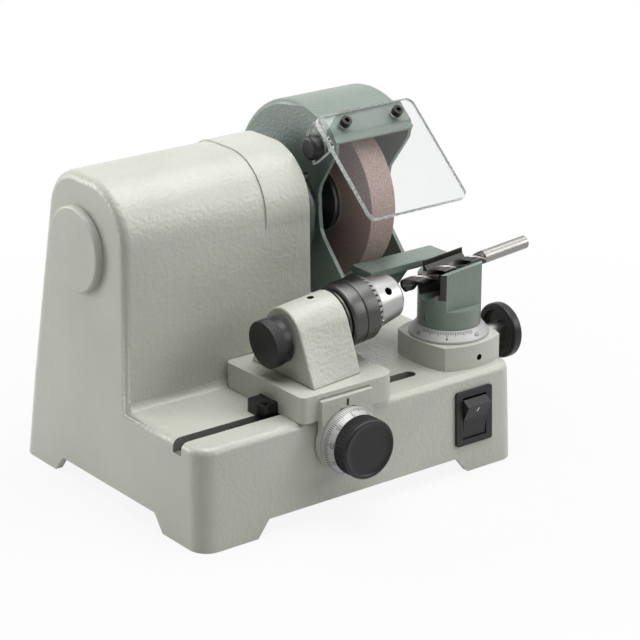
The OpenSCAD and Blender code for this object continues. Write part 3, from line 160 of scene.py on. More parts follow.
def abrasive_stone(name):
    """Pressed grit: coloured grains with dark pores."""
    mat, tree, bsdf = new_material(name)
    coords = add(tree, "ShaderNodeTexCoord")
    grains = add(tree, "ShaderNodeTexVoronoi", Scale=1050.0)
    tree.links.new(coords.outputs["Object"], grains.inputs["Vector"])
    grit = ramp(tree, noise(tree, 950, 3, 0.6),
                [(0.28, (0.22, 0.145, 0.13)), (0.45, (0.41, 0.295, 0.262)), (0.72, (0.55, 0.43, 0.395))])
    tree.links.new(grit, bsdf.inputs["Base Color"])
    tree.links.new(bump(tree, grains.outputs["Distance"], 0.5, 0.0004), bsdf.inputs["Normal"])
    tree.links.new(spread(tree, noise(tree, 300), 0.82, 0.97), bsdf.inputs["Roughness"])
    return mat


def acrylic(name):
    """Clear pane with a trace of tint and hardly visible handling haze."""
    mat, tree, bsdf = new_material(name)
    bsdf.inputs["Transmission Weight"].default_value = 0.995
    bsdf.inputs["IOR"].default_value = 1.36
    haze = noise(tree, 25, 2)
    tree.links.new(ramp(tree, haze, [(0.3, (0.87, 0.88, 0.88)), (0.7, (0.90, 0.905, 0.905))]),
                   bsdf.inputs["Base Color"])
    tree.links.new(spread(tree, haze, 0.0, 0.02), bsdf.inputs["Roughness"])
    return mat


def acrylic_edge_highlight(name):
    """Polished edge of the pane, painted whitish: a painted highlight where the light inside leaves it."""
    mat, tree, bsdf = new_material(name)
    bsdf.inputs["Transmission Weight"].default_value = 0.1
    streaks = noise(tree, 400, 2)
    tree.links.new(ramp(tree, streaks, [(0.3, (0.74, 0.78, 0.77)), (0.7, (0.93, 0.95, 0.94))]),
                   bsdf.inputs["Base Color"])
    tree.links.new(spread(tree, streaks, 0.2, 0.35), bsdf.inputs["Roughness"])
    return mat


def flat_grain(name, colour, rough, grain=700.0):
    """Paper, ink and other dull stuff with a grain."""
    mat, tree, bsdf = new_material(name)
    tint(tree, bsdf, noise(tree, grain, 3), colour, 0.85, 1.12)
    tree.links.new(spread(tree, noise(tree, grain / 3), rough - 0.05, rough + 0.05), bsdf.inputs["Roughness"])
    return mat


PITCH = atan2(JOINTS["spindle_turn"]["axis"][2], JOINTS["spindle_turn"]["axis"][0])
DRILL_PITCH = atan2(JOINTS["drill_slide"]["axis"][2], JOINTS["drill_slide"]["axis"][0])
ALONG_X = (0, pi / 2, 0)
ALONG_Y = (pi / 2, 0, 0)
ALONG_Z = (0, 0, 0)
ALONG_SPINDLE = (0, pi / 2 - PITCH, 0)
ALONG_DRILL = (0, pi / 2 - DRILL_PITCH, 0)
CASTING = (0.50, 0.512, 0.45)
GREEN = (0.185, 0.235, 0.20)
CASTING_LUMPS, GUARD_LUMPS = 320, 420
NECK_PAINTED_SHADE, SLOT_PAINTED_SHADE = 0.16, 0.36

casting = hammered_paint("casting_paint", CASTING, CASTING_LUMPS, strength=0.5)
smooth_casting = hammered_paint("smooth_casting_paint", CASTING, CASTING_LUMPS, strength=0.12)
guard_green = hammered_paint("guard_paint", GREEN, GUARD_LUMPS, strength=0.3)
# Painted shade: the motor's neck gets the guard paint darkened, standing for the guard's shade it lies in
shaded_neck_green = hammered_paint("neck_painted_shade", shade(GREEN, NECK_PAINTED_SHADE), GUARD_LUMPS, strength=0.2)
# Painted shade: the inside of the table's slot gets the casting paint darkened
slot_shade = hammered_paint("slot_painted_shade", shade(CASTING, SLOT_PAINTED_SHADE), CASTING_LUMPS, strength=0.3)
# Metals: colour, roughness, direction, lines in a metre, depth of the marks and share of metal
# Plastics and dull stuff: colour, roughness, grains in a metre and depth of the grain
bright_x = turned_metal("bright_steel_x", (0.66, 0.66, 0.65), 0.24, ALONG_X)
bright_y = turned_metal("bright_steel_dial", (0.47, 0.47, 0.455), 0.5, ALONG_Y, 1800.0, 0.08, 0.35)
bright_z = turned_metal("bright_steel_ring", (0.45, 0.45, 0.435), 0.5, ALONG_Z, 1800.0, 0.08, 0.35)
nose_metal = turned_metal("chuck_nose_steel", (0.42, 0.42, 0.408), 0.36, ALONG_SPINDLE, 2200.0)
dark_x = turned_metal("dark_steel_x", (0.16, 0.16, 0.16), 0.36, ALONG_X)
sleeve_metal = turned_metal("chuck_sleeve_steel", (0.09, 0.09, 0.086), 0.34, ALONG_SPINDLE, 1600.0, 0.2)
jaw_metal = turned_metal("vee_jaw_steel", (0.07, 0.07, 0.068), 0.46, ALONG_X, 900.0, 0.2)
oxide = moulded("black_oxide", (0.012, 0.012, 0.012), 0.36, 900.0)
plastic = moulded("black_plastic", (0.011, 0.011, 0.012), 0.36)
switch_plastic = moulded("switch_plastic", (0.017, 0.017, 0.017), 0.45, 2200.0, 0.1)
flute_steel = turned_metal("drill_flute_steel", (0.055, 0.053, 0.051), 0.34, ALONG_DRILL, 700.0, 0.25)
shank_steel = turned_metal("drill_shank_steel", (0.30, 0.29, 0.275), 0.36, ALONG_DRILL, 900.0, 0.01)
wheel_stone = abrasive_stone("abrasive")
pane = acrylic("clear_acrylic")
pane_edge_highlight = acrylic_edge_highlight("acrylic_edge_highlight")
copper = turned_metal("copper_wire", (0.72, 0.36, 0.18), 0.35, ALONG_X, 900.0, 0.4)
bronze = turned_metal("oiled_bronze", (0.62, 0.42, 0.18), 0.35, ALONG_X)
blotter = flat_grain("blotter_paper", (0.42, 0.40, 0.33), 0.85)
ink = flat_grain("engraved_ink", (0.022, 0.022, 0.022), 0.6)
white_ink = flat_grain("white_ink", (0.72, 0.72, 0.70), 0.5)
# Near black for painted shade inside holes and between the chuck's teeth
pit_painted_shade = flat_grain("painted_shade_in_gaps", (0.008, 0.008, 0.008), 0.8)


# Mesh helpers
def plain_mesh(name, verts, faces):
    mesh = bpy.data.meshes.new(name)
    mesh.from_pydata(verts, [], faces)
    return mesh


def linked(name, data):
    """A new object, put into the scene."""
    obj = bpy.data.objects.new(name, data)
    bpy.context.collection.objects.link(obj)
    return obj


def make_piece(name, verts, faces, body, slot, mats, face_mats=None, smooth=35):
    mesh = plain_mesh(name, verts, faces)
    for mat in mats:
        mesh.materials.append(mat)
    if face_mats:
        mesh.polygons.foreach_set("material_index", face_mats)
    return finish_piece(name, mesh, body, smooth)


def finish_piece(name, mesh, body, smooth):
    mesh.validate()
    mesh.shade_smooth()
    mesh.set_sharp_from_angle(angle=radians(smooth))
    obj = linked(name, mesh)
    weights = obj.modifiers.new("weights", "WEIGHTED_NORMAL")
    weights.keep_sharp = True
    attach(obj, body)
    return obj


def axis_frame(origin, axis, side):
    """Matrix whose Z lies along axis, whose X is near side and whose origin is a point."""
    z = Vector(axis).normalized()
    x = Vector(side) - z * Vector(side).dot(z)
    x.normalize()
    return Matrix.Translation(origin) @ Matrix((x, z.cross(x), z)).transposed().to_4x4()


def further(place, along):
    """A place moved along its own Z by some mm."""
    return place @ Matrix.Translation((0, 0, along * MM))


def tube_faces(ring, slices):
    """Faces of a closed tube whose rings of points follow each other, then those of its two ends."""
    faces = [(k * ring + j, k * ring + (j + 1) % ring, (k + 1) * ring + (j + 1) % ring, (k + 1) * ring + j)
             for k in range(slices) for j in range(ring)]
    return faces + [tuple(range(ring - 1, -1, -1)), tuple(slices * ring + j for j in range(ring))]


def lathe(profile, steps, place, radius=None):
    """Turned mesh from (r, z) points in mm, shared where r is 0; radius(r, z, angle) may change a radius."""
    verts, faces, index, on_axis = [], [], [], {}
    count = len(profile)
    for i in range(steps):
        angle = 2 * pi * i / steps
        for k, (r, z) in enumerate(profile):
            if r > 0:
                rr = radius(r, z, angle) if radius else r
                index.append(len(verts))
                verts.append(place @ Vector((rr * cos(angle) * MM, rr * sin(angle) * MM, z * MM)))
            else:
                if k not in on_axis:
                    on_axis[k] = len(verts)
                    verts.append(place @ Vector((0, 0, z * MM)))
                index.append(on_axis[k])
    for i in range(steps):
        a, b = i * count, (i + 1) % steps * count
        for k in range(count):
            m = (k + 1) % count
            corners = list(dict.fromkeys((index[a + k], index[b + k], index[b + m], index[a + m])))
            if len(corners) > 2:
                faces.append(tuple(corners))
    return verts, faces


def round_edges(bm, width, segments, sharp):
    """Rounds the edges that turn by more than sharp degrees by width in mm."""
    edges = [e for e in bm.edges if len(e.link_faces) == 2 and e.calc_face_angle(0) > radians(sharp)]
    bmesh.ops.bevel(bm, geom=edges, offset=width * MM, offset_type="OFFSET", segments=segments,
                    profile=0.5, affect="EDGES", clamp_overlap=True)


# Angles in degrees: edges that turn more than SHARP are rounded, those that turn more than SMOOTH stay hard
SHARP, SMOOTH = 32, 40
SAME_POINT, SAME_PLANE = 2e-6, radians(0.6)


def rounded_mesh(name, verts, faces, width, segments, sharp):
    """Mesh from points and faces, its sharp edges rounded by width in mm."""
    mesh = plain_mesh(name, verts, faces)
    bm = bmesh.new()
    bm.from_mesh(mesh)
    bmesh.ops.recalc_face_normals(bm, faces=bm.faces)
    round_edges(bm, width, segments, sharp)
    bm.to_mesh(mesh)
    bm.free()
    return mesh


def copy_of(node, name, body, mats, width=0.0, segments=2, shape=None):
    """A piece in a node's place: its shape, changed by shape(bm), with sharp edges rounded by width in mm."""
    bm = bmesh.new()
    bm.from_mesh(frame["nodes"][node].data)
    bmesh.ops.remove_doubles(bm, verts=bm.verts, dist=SAME_POINT)
    bmesh.ops.dissolve_limit(bm, angle_limit=SAME_PLANE, verts=bm.verts, edges=bm.edges)
    if shape:
        shape(bm)
    if width:
        round_edges(bm, width, segments, SHARP)
    bmesh.ops.recalc_face_normals(bm, faces=bm.faces)
    mesh = bpy.data.meshes.new(name)
    bm.to_mesh(mesh)
    bm.free()
    mesh.materials.clear()
    for mat in mats:
        mesh.materials.append(mat)
    obj = finish_piece(name, mesh, body, SMOOTH)
    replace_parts(obj, node)
    return obj


def darken(obj, mat, inside):
    """Gives mat to the faces whose middle, in mm from the base's front left corner, lies inside."""
    obj.data.materials.append(mat)
    last = len(obj.data.materials) - 1
    for poly in obj.data.polygons:
        if inside((poly.center - CORNER) / MM):
            poly.material_index = last


def near_line(point, start, along, radius, length):
    """True where a point lies within radius of a line's first length."""
    reach = (point - start).dot(along)
    return 0 < reach < length and (point - start - along * reach).length < radius


# Spindle bracket: an arch on legs whose lean changes evenly from end to end
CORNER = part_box("base_casting")[0]
spindle_place = axis_frame(JOINTS["spindle_turn"]["pos_m"], JOINTS["spindle_turn"]["axis"], (0, 1, 0))
ARCH_R, FOOT_DROP, PAST, BRACKET_L, LEANS = 23.0, 29.4, 10.0, 45.5, (radians(26.2), radians(11.5))
BRACKET_ROUND, BORE_R, BORE_START, BORE_L = 1.4, 12.02, -20.0, 90.0
OIL_HOLE_R, OIL_HOLE_S, OIL_HOLE_L = 2.7, 28.75, 40.0
LEG_STEPS, ARCH_STEPS, SLICES, PASSES, HOLE_SIDES = 10, 48, 16, 4, 64
RING = 2 * LEG_STEPS + ARCH_STEPS + 1


def bracket_point(j, t):
    """Point j of the outline, from foot over the arch to foot, at share t of the bracket's length."""
    along = t * BRACKET_L
    for _ in range(PASSES):
        lean = LEANS[0] + (LEANS[1] - LEANS[0]) * (along + PAST) / (BRACKET_L + 2 * PAST)
        foot = -(FOOT_DROP + along * sin(PITCH)) / cos(PITCH)
        step = min(j, RING - 1 - j)
        if step < LEG_STEPS:
            y = foot + (ARCH_R * sin(lean) - foot) * step / LEG_STEPS
            x = ARCH_R * cos(lean) + (ARCH_R * sin(lean) - y) * tan(lean)
            x = x if j == step else -x
        else:
            angle = lean + (pi - 2 * lean) * (j - LEG_STEPS) / ARCH_STEPS
            x, y = ARCH_R * cos(angle), ARCH_R * sin(angle)
        along = (1 - t) * y * tan(PITCH) + t * BRACKET_L
    return spindle_place @ Vector((x * MM, y * MM, along * MM))


def less_round_holes(obj, holes):
    """Mesh of an object less round holes, each a place, a radius and a length in mm."""
    cutters = []
    turns = [2 * pi * i / HOLE_SIDES for i in range(HOLE_SIDES)]
    for place, radius, length in holes:
        rim = [(radius * cos(a) * MM, radius * sin(a) * MM) for a in turns]
        verts = [place @ Vector((x, y, z)) for z in (0, length * MM) for x, y in rim]
        cutters.append(linked("hole_cutter", plain_mesh("hole_cutter", verts, tube_faces(HOLE_SIDES, 1))))
        cut = obj.modifiers.new("hole", "BOOLEAN")
        cut.operation = "DIFFERENCE"
        cut.solver = "EXACT"
        cut.object = cutters[-1]
    graph = bpy.context.evaluated_depsgraph_get()
    mesh = bpy.data.meshes.new_from_object(obj.evaluated_get(graph))
    for spare in cutters + [obj]:
        spare_mesh = spare.data
        bpy.data.objects.remove(spare)
        bpy.data.meshes.remove(spare_mesh)
    return mesh


verts = [bracket_point(j, k / SLICES) for k in range(SLICES + 1) for j in range(RING)]
mesh = rounded_mesh("bracket_arch", verts, tube_faces(RING, SLICES), BRACKET_ROUND, segments=3, sharp=SHARP)
bore = (further(spindle_place, BORE_START), BORE_R, BORE_L)
oil_hole = (further(spindle_place, OIL_HOLE_S) @ Matrix.Rotation(-pi / 2, 4, "X"), OIL_HOLE_R, OIL_HOLE_L)
mesh = less_round_holes(linked("bracket_arch", mesh), [bore, oil_hole])
mesh.materials.clear()
mesh.materials.append(casting)
bracket = finish_piece("spindle_bracket_painted", mesh, "carriage", SMOOTH)
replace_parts(bracket, "spindle_bracket")

# Guard: its outer rim is rounded at the left end, up to the pad under the shield
GUARD_LEFT, RIM_Y, RIM_Z, RIM_R, RIM_ROUND = 195.0, 150.0, 195.3, 76.4, 4.5
RIM_CUTS, RIM_NEAR, RIM_SLACK = (22.5, 45.0, 67.5, 90.0), 0.25, 0.01
FADE_START, FADE_TURN = radians(-12), radians(15)
PLANE_SLACK = 1e-7


def split_faces(bm, point, normal, slack=0.0):
    """Splits the faces that a plane cuts."""
    bmesh.ops.bisect_plane(bm, geom=bm.verts[:] + bm.edges[:] + bm.faces[:], plane_co=point,
                           plane_no=normal, dist=slack)


def round_rim(bm):
    """Rounds the rim's left edge, fading out where the pad begins."""
    end = CORNER[0] + GUARD_LEFT * MM
    for turn in RIM_CUTS:
        place = Vector((end + RIM_ROUND * (1 - cos(radians(turn))) * MM, 0, 0))
        split_faces(bm, place, (1, 0, 0), PLANE_SLACK)
    for vert in bm.verts:
        deep = (vert.co.x - end) / MM
        y, z = (vert.co.y - CORNER[1]) / MM - RIM_Y, vert.co.z / MM - RIM_Z
        if -RIM_SLACK < deep < RIM_ROUND - RIM_SLACK and abs(hypot(y, z) - RIM_R) < RIM_NEAR:
            fade = min(1.0, max(0.0, (atan2(y, z) - FADE_START) / FADE_TURN))
            if y > 0 and z < 0:
                fade = 1.0
            drop = fade * (RIM_ROUND - max(0.0, RIM_ROUND ** 2 - (RIM_ROUND - deep) ** 2) ** 0.5)
            vert.co.y -= y / RIM_R * drop * MM
            vert.co.z -= z / RIM_R * drop * MM


# Painted castings: the solids, most of them with rounded edges; body, paint, slot and rounding in mm
PAINTED = {
    "base_casting": ("base", casting, "casting_paint", 0.0),
    "end_cap": ("base", smooth_casting, "casting_paint", 0.4),
    "swivel_block": ("base", casting, "casting_paint", 0.8),
    "guard_body": ("base", guard_green, "guard_paint", 0.0),
    "guard_cover": ("base", guard_green, "guard_paint", 0.7),
    "tool_rest": ("base", guard_green, "guard_paint", 0.8),
    "carriage_plate": ("carriage", casting, "casting_paint", 0.9),
    "feed_bracket": ("carriage", casting, "casting_paint", 0.5),
    "vee_post": ("swivel", guard_green, "guard_paint", 0.7),
}
JAW_FOOT = 131.0


def split_post(bm):
    """Splits the post's faces at the foot of the jaws."""
    split_faces(bm, (0, 0, JAW_FOOT * MM), (0, 0, 1), PLANE_SLACK)


SHAPES = {"guard_body": round_rim, "vee_post": split_post}
painted = {"spindle_bracket": bracket}
for node, (body, mat, slot, width) in PAINTED.items():
    painted[node] = copy_of(node, node + "_painted", body, [mat], width, segments=3,
                            shape=SHAPES.get(node))

# Machined and moulded pieces with small rounded edges; body, material, slot and rounding in mm
EDGED = {
    "slot_key": ("slot_key", oxide, "black_oxide", 0.5),
    "vee_jaws": ("swivel", jaw_metal, "dark_steel", 0.35),
    "switch_frame": ("base", switch_plastic, "black_plastic", 0.6),
    "clamp_knob": ("clamp_knob", plastic, "black_plastic", 0.8),
    "shield_knob": ("shield_knob", plastic, "black_plastic", 0.5),
    "chuck_body": ("spindle", nose_metal, "bright_steel", 0.25),
    "grinding_wheel": ("rotor", wheel_stone, "abrasive", 0.3),
    "cap_screws": ("base", oxide, "black_oxide", 0.25),
}
edged = {}
for node, (body, mat, slot, width) in EDGED.items():
    edged[node] = copy_of(node, node + "_edged", body, [mat], width)

# The base's left end is painted smoother
END_FACING = -0.97
painted["base_casting"].data.materials.append(smooth_casting)
for poly in painted["base_casting"].data.polygons:
    if poly.normal.x < END_FACING:
        poly.material_index = 1

# Painted shade: near-black insides of holes, as (start, direction, radius, length) in mm from the base's
# corner
SPINDLE_START = Vector((106.5, 46.0, 129.1))
OIL_PIT_START, OIL_PIT_R, OIL_PIT_L = 11.0, 2.75, 11.8
SIDE_HOLE_START, SIDE_HOLE_R, SIDE_HOLE_L = Vector((268.46, 9.5, 86.8)), 2.45, 14.0
KEY_HOLES, KEY_HOLE_TURN, KEY_HOLE_S = 3, 142, 90.0
KEY_HOLE_START, KEY_HOLE_R, KEY_HOLE_L = 9.0, 3.2, 9.7
NOSE_BORE_S, NOSE_BORE_R, NOSE_BORE_L = 75.0, 9.0, 28.4
e_x, e_y, e_z = (Vector(col) for col in spindle_place.to_3x3().col)
oil_pit = (SPINDLE_START + e_z * OIL_HOLE_S + e_y * OIL_PIT_START, e_y, OIL_PIT_R, OIL_PIT_L)
side_hole = (SIDE_HOLE_START, Vector((0, 1, 0)), SIDE_HOLE_R, SIDE_HOLE_L)
chuck_holes = []
for i in range(KEY_HOLES):
    turn = radians(KEY_HOLE_TURN + 360 / KEY_HOLES * i)
    out = e_x * cos(turn) + e_y * sin(turn)
    start = SPINDLE_START + e_z * KEY_HOLE_S + out * KEY_HOLE_START
    chuck_holes.append((start, out, KEY_HOLE_R, KEY_HOLE_L))
chuck_holes.append((SPINDLE_START + e_z * NOSE_BORE_S, e_z, NOSE_BORE_R, NOSE_BORE_L))

# Painted shade inside the table's slot, and the jaws' dark steel on the post beside the jaws, partly for the
# front jaw's end and partly painted shade; in mm from the base's corner
SLOT_Y, SLOT_HALF, SLOT_FLOOR, SLOT_TOP, SLOT_END = 31.4, 5.2, 68.0, 78.6, 222.0
SWIVEL_X, SWIVEL_Y, POST_INSIDE, POST_GAP = 267.26, 46.0, 24.0, 13.6
POST_FRONT, POST_LEFT = 34.0, 258.0


def in_slot(p):
    return abs(p.y - SLOT_Y) < SLOT_HALF and SLOT_FLOOR < p.z < SLOT_TOP and p.x < SLOT_END


def jaw_end_and_painted_shade(p):
    """True above the foot of the jaws, at the post's front left, where the dark steel stands partly for the
    front jaw's end and partly for painted shade, and in the gap between its sides, where it is painted shade.
    """
    front_left = p.y < POST_FRONT and p.x < POST_LEFT
    in_gap = abs(p.y - SWIVEL_Y) < POST_GAP and hypot(p.x - SWIVEL_X, p.y - SWIVEL_Y) < POST_INSIDE
    return p.z > JAW_FOOT and (front_left or in_gap)


# Painted shade in the table's slot
darken(painted["base_casting"], slot_shade, in_slot)
# Painted shade: near-black faces inside the oil hole, the block's side hole and the chuck's holes
darken(painted["spindle_bracket"], pit_painted_shade, lambda p: near_line(p, *oil_pit))
darken(painted["swivel_block"], pit_painted_shade, lambda p: near_line(p, *side_hole))
# The jaws' dark steel on the post: partly the front jaw's end, partly painted shade
darken(painted["vee_post"], jaw_metal, jaw_end_and_painted_shade)
darken(edged["chuck_body"], pit_painted_shade, lambda p: any(near_line(p, *hole) for hole in chuck_holes))

# Solids that are shown as they are
KEPT = {
    # motor_flange takes the darkened guard paint: painted shade
    shaded_neck_green: ["motor_flange"],
    bright_x: ["motor_shaft", "front_bearing", "rear_bearing", "rear_bell", "stator_core",
               "spindle", "clamp_stud"],
    bright_y: ["feed_screw"],
    dark_x: ["bottom_cover", "cover_screws", "motor_shell", "block_screws", "rotor_core", "inner_flange",
             "outer_flange", "wheel_nut", "key_nut", "bracket_screws", "pivot_nut"],
    sleeve_metal: ["thrust_ring", "chuck_jaw_1", "chuck_jaw_2", "chuck_jaw_3"],
    oxide: ["key_screw"],
    plastic: ["capacitor", "cable_gland", "cooling_fan"],
    copper: ["stator_windings"],
    bronze: ["spindle_bushes"],
    blotter: ["wheel_blotters"],
}
for mat, nodes in KEPT.items():
    for node in nodes:
        for place in frame["nodes"][node].material_slots:
            place.material = mat

# Eye shield: clear faces, and edges painted whitish as a painted highlight for the light that leaves the pane
# through them
FLAT_SLOPE, FLAT_Y, FLAT_Z, FACING = radians(41.7), 99.3, 254.25, 0.95
face_normal = Vector((0, -sin(FLAT_SLOPE), cos(FLAT_SLOPE)))
flat_point = CORNER + Vector((GUARD_LEFT, FLAT_Y, FLAT_Z)) * MM


def split_pane(bm):
    """Splits the tab's sides from the pane's edges along the guard's flat."""
    split_faces(bm, flat_point, face_normal)


shield = copy_of("eye_shield", "eye_shield_pane", "base", [pane, pane_edge_highlight],
                 shape=split_pane)
for poly in shield.data.polygons:
    tab = abs(poly.normal.x) > FACING and (poly.center - flat_point).dot(face_normal) < 0
    poly.material_index = 0 if tab or abs(poly.normal.dot(face_normal)) > FACING else 1
    poly.use_smooth = False


def turned_piece(name, node, profile, steps, place, body, slot, mat, smooth, radius=None):
    """A lathe's piece in place of a node."""
    piece = make_piece(name, *lathe(profile, steps, place, radius), body, slot, [mat], smooth=smooth)
    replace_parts(piece, node)


# Chuck: sleeve with two grips and a ring of bevel teeth
SLEEVE_S, SLEEVE_R, SLEEVE_L, SLEEVE_BORE, SLEEVE_STEPS = 49.2, 25.2, 25.0, 17.0, 128
sleeve_profile = [(SLEEVE_BORE, 0), (SLEEVE_R - 3, 0), (SLEEVE_R - 1.4, 0.5), (SLEEVE_R - 0.4, 1.6),
                  (SLEEVE_R, 3.2), (SLEEVE_R, 10.6), (SLEEVE_R - 0.25, 11.4), (SLEEVE_R - 0.9, 11.8),
                  (SLEEVE_R - 0.9, 12.6), (SLEEVE_R - 0.25, 13.0), (SLEEVE_R, 13.8), (SLEEVE_R, 23.6),
                  (SLEEVE_R - 0.3, 24.5), (SLEEVE_R - 0.9, SLEEVE_L), (SLEEVE_R - 2.4, SLEEVE_L + 0.01),
                  (SLEEVE_BORE, SLEEVE_L + 0.01)]
at_sleeve = further(spindle_place, SLEEVE_S)
turned_piece("chuck_sleeve_grip", "chuck_sleeve", sleeve_profile, SLEEVE_STEPS, at_sleeve, "chuck_sleeve",
             "dark_steel", sleeve_metal, smooth=28)
TEETH, TEETH_L, TOOTH_COLUMNS = 34, 5.0, 10
GAP_FROM, GAP_TO, GAP_START, GAP_RISE, GAP_DEPTH = 0.35, 0.65, 0.4, 0.8, 1.7
DARK_FROM, DARK_TO, DARK_ROWS = 0.3, 0.7, range(1, 5)
tooth_profile = [(SLEEVE_BORE, SLEEVE_L), (SLEEVE_R - 0.9, SLEEVE_L), (SLEEVE_R - 1.1, SLEEVE_L + 0.5),
                 (SLEEVE_R - 1.5, SLEEVE_L + 1.2), (SLEEVE_R - 2.0, SLEEVE_L + 2.1),
                 (SLEEVE_R - 2.7, SLEEVE_L + 3.6), (SLEEVE_R - 3.4, SLEEVE_L + TEETH_L),
                 (SLEEVE_BORE, SLEEVE_L + TEETH_L)]


def tooth_radius(r, z, angle):
    """Bevel teeth: each pitch has a gap that starts just past the sleeve's edge and deepens forwards."""
    turn = angle * TEETH / (2 * pi) % 1
    deep = max(0.0, min(1.0, (z - SLEEVE_L - GAP_START) / GAP_RISE))
    return r - GAP_DEPTH * deep if GAP_FROM < turn < GAP_TO and r > SLEEVE_BORE + 0.1 else r


# Painted shade: the faces deep in each tooth gap get the near-black shade material
gap_faces = []
for i in range(TEETH * TOOTH_COLUMNS):
    dark = DARK_FROM <= (i + 0.5) / TOOTH_COLUMNS % 1 <= DARK_TO
    gap_faces += [1 if dark and k in DARK_ROWS else 0 for k in range(len(tooth_profile))]
verts, faces = lathe(tooth_profile, TEETH * TOOTH_COLUMNS, at_sleeve, tooth_radius)
make_piece("chuck_teeth", verts, faces, "chuck_sleeve", "bright_steel", [nose_metal, pit_painted_shade], gap_faces,
           smooth=25)

# Spindle knob: crossed knurl on its band, smooth collar behind
KNOB_R, KNOB_FACE, KNOB_L, KNOB_BORE, KNOB_SOCKET = 18.5, -17.3, 14.95, 9.1, 3.0
KNURLS, KNURL_COLUMNS, KNURL_START, KNURL_L, KNURL_STEP, KNURL_DEPTH = 56, 6, 0.9, 8.5, 0.35, 0.6
knurl_rows = int((KNURL_L - KNURL_START) / KNURL_STEP) + 1
knob_rows = [(KNOB_R, KNURL_START + KNURL_STEP * i) for i in range(knurl_rows)]
knob_profile = [(0, 0.25), (12, 0.12), (KNOB_R - 1.2, 0), (KNOB_R - 0.4, 0.35), *knob_rows,
                (KNOB_R - 0.7, KNURL_L + 0.5), (KNOB_R - 0.8, KNURL_L + 0.9), (KNOB_R - 0.8, KNOB_L - 0.5),
                (KNOB_R - 1.3, KNOB_L), (KNOB_BORE, KNOB_L), (KNOB_BORE, KNOB_SOCKET), (0, KNOB_SOCKET)]


def crossed(r, z, angle):
    """Diamond knurl cut into the band."""
    if r < KNOB_R - 0.1 or z > KNURL_L:
        return r
    lean = z / KNOB_R
    cut = abs(sin(KNURLS / 2 * (angle + lean))) * abs(sin(KNURLS / 2 * (angle - lean)))
    return r - KNURL_DEPTH * (1 - cut)


turned_piece("spindle_knob_knurled", "spindle_knob", knob_profile, KNURLS * KNURL_COLUMNS,
             further(spindle_place, KNOB_FACE), "spindle", "black_plastic", plastic,
             smooth=50, radius=crossed)

# Feed dial and knob; Z of this frame points forwards, out of the dial
feed_low, feed_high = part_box("feed_dial")
feed_centre = Vector(((feed_low.x + feed_high.x) / 2, feed_high.y, (feed_low.z + feed_high.z) / 2))
feed_place = axis_frame(feed_centre, (0, -1, 0), (1, 0, 0))
DIAL_R, DIAL_RIM, DIAL_TOP, DIAL_L, SCREW_R, DIAL_STEPS = 25.6, 4.0, 22.6, 12.3, 5.02, 160
feed_cone = (feed_place, (DIAL_R - 0.15, DIAL_RIM + 0.1), (DIAL_TOP + 0.1, DIAL_L - 0.3))
dial_profile = [(SCREW_R, 0), (DIAL_R - 0.4, 0), (DIAL_R, 0.4), (DIAL_R, DIAL_RIM - 0.3), *feed_cone[1:],
                (DIAL_TOP - 0.3, DIAL_L), (SCREW_R, DIAL_L)]
turned_piece("feed_dial_turned", "feed_dial", dial_profile, DIAL_STEPS, feed_place, "feed_dial",
             "bright_steel", bright_y, smooth=30)

FEED_R, FEED_L, FEED_DISH, RIDGES, RIDGE_COLUMNS, RIDGE_DEPTH = 23.1, 13.7, 1.4, 84, 6, 0.8
feed_profile = [(0, 0), (FEED_R - 0.8, 0), (FEED_R - 0.3, 0.3), (FEED_R, 0.9), (FEED_R, FEED_L - 2.2),
                (FEED_R - 0.2, FEED_L - 1.3), (FEED_R - 0.8, FEED_L - 0.4), (FEED_R - 1.6, FEED_L),
                (FEED_R - 2.5, FEED_L - 0.05), (FEED_R - 3.2, FEED_L - 0.5), (FEED_R - 4.4, FEED_L - 1.25),
                (FEED_R - 7, FEED_L - FEED_DISH), (9, FEED_L - FEED_DISH), (0, FEED_L - FEED_DISH)]


def ridged(r, z, angle):
    """Straight knurl along the knob's side."""
    if r < FEED_R - 0.05:
        return r
    return r - RIDGE_DEPTH * (0.5 + 0.5 * cos(RIDGES * angle))


turned_piece("feed_knob_ridged", "feed_knob", feed_profile, RIDGES * RIDGE_COLUMNS,
             further(feed_place, DIAL_L), "feed_dial", "black_plastic", plastic,
             smooth=50, radius=ridged)

# Engraved marks lie this far off their faces, in mm, and a font is larger than its figures
INK_LIFT, FONT_SCALE = 0.03, 1.4


def cone_point(place, rim, top, angle, along):
    """Point just off a cone between (r, z) rim and top; along runs from 0 to 1."""
    r = rim[0] + (top[0] - rim[0]) * along
    z = rim[1] + (top[1] - rim[1]) * along
    length = hypot(top[0] - rim[0], top[1] - rim[1])
    r += INK_LIFT * (top[1] - rim[1]) / length
    z -= INK_LIFT * (top[0] - rim[0]) / length
    return place @ Vector((r * cos(angle) * MM, r * sin(angle) * MM, z * MM))


def cone_ticks(place, rim, top, ticks):
    """Quads for (angle, from, to, half width in mm) on a cone."""
    verts, faces = [], []
    for angle, start, stop, half in ticks:
        n = len(verts)
        for along, side in ((start, -1), (start, 1), (stop, 1), (stop, -1)):
            r = rim[0] + (top[0] - rim[0]) * along
            verts.append(cone_point(place, rim, top, angle + side * half / r, along))
        faces.append((n, n + 1, n + 2, n + 3))
    return verts, faces


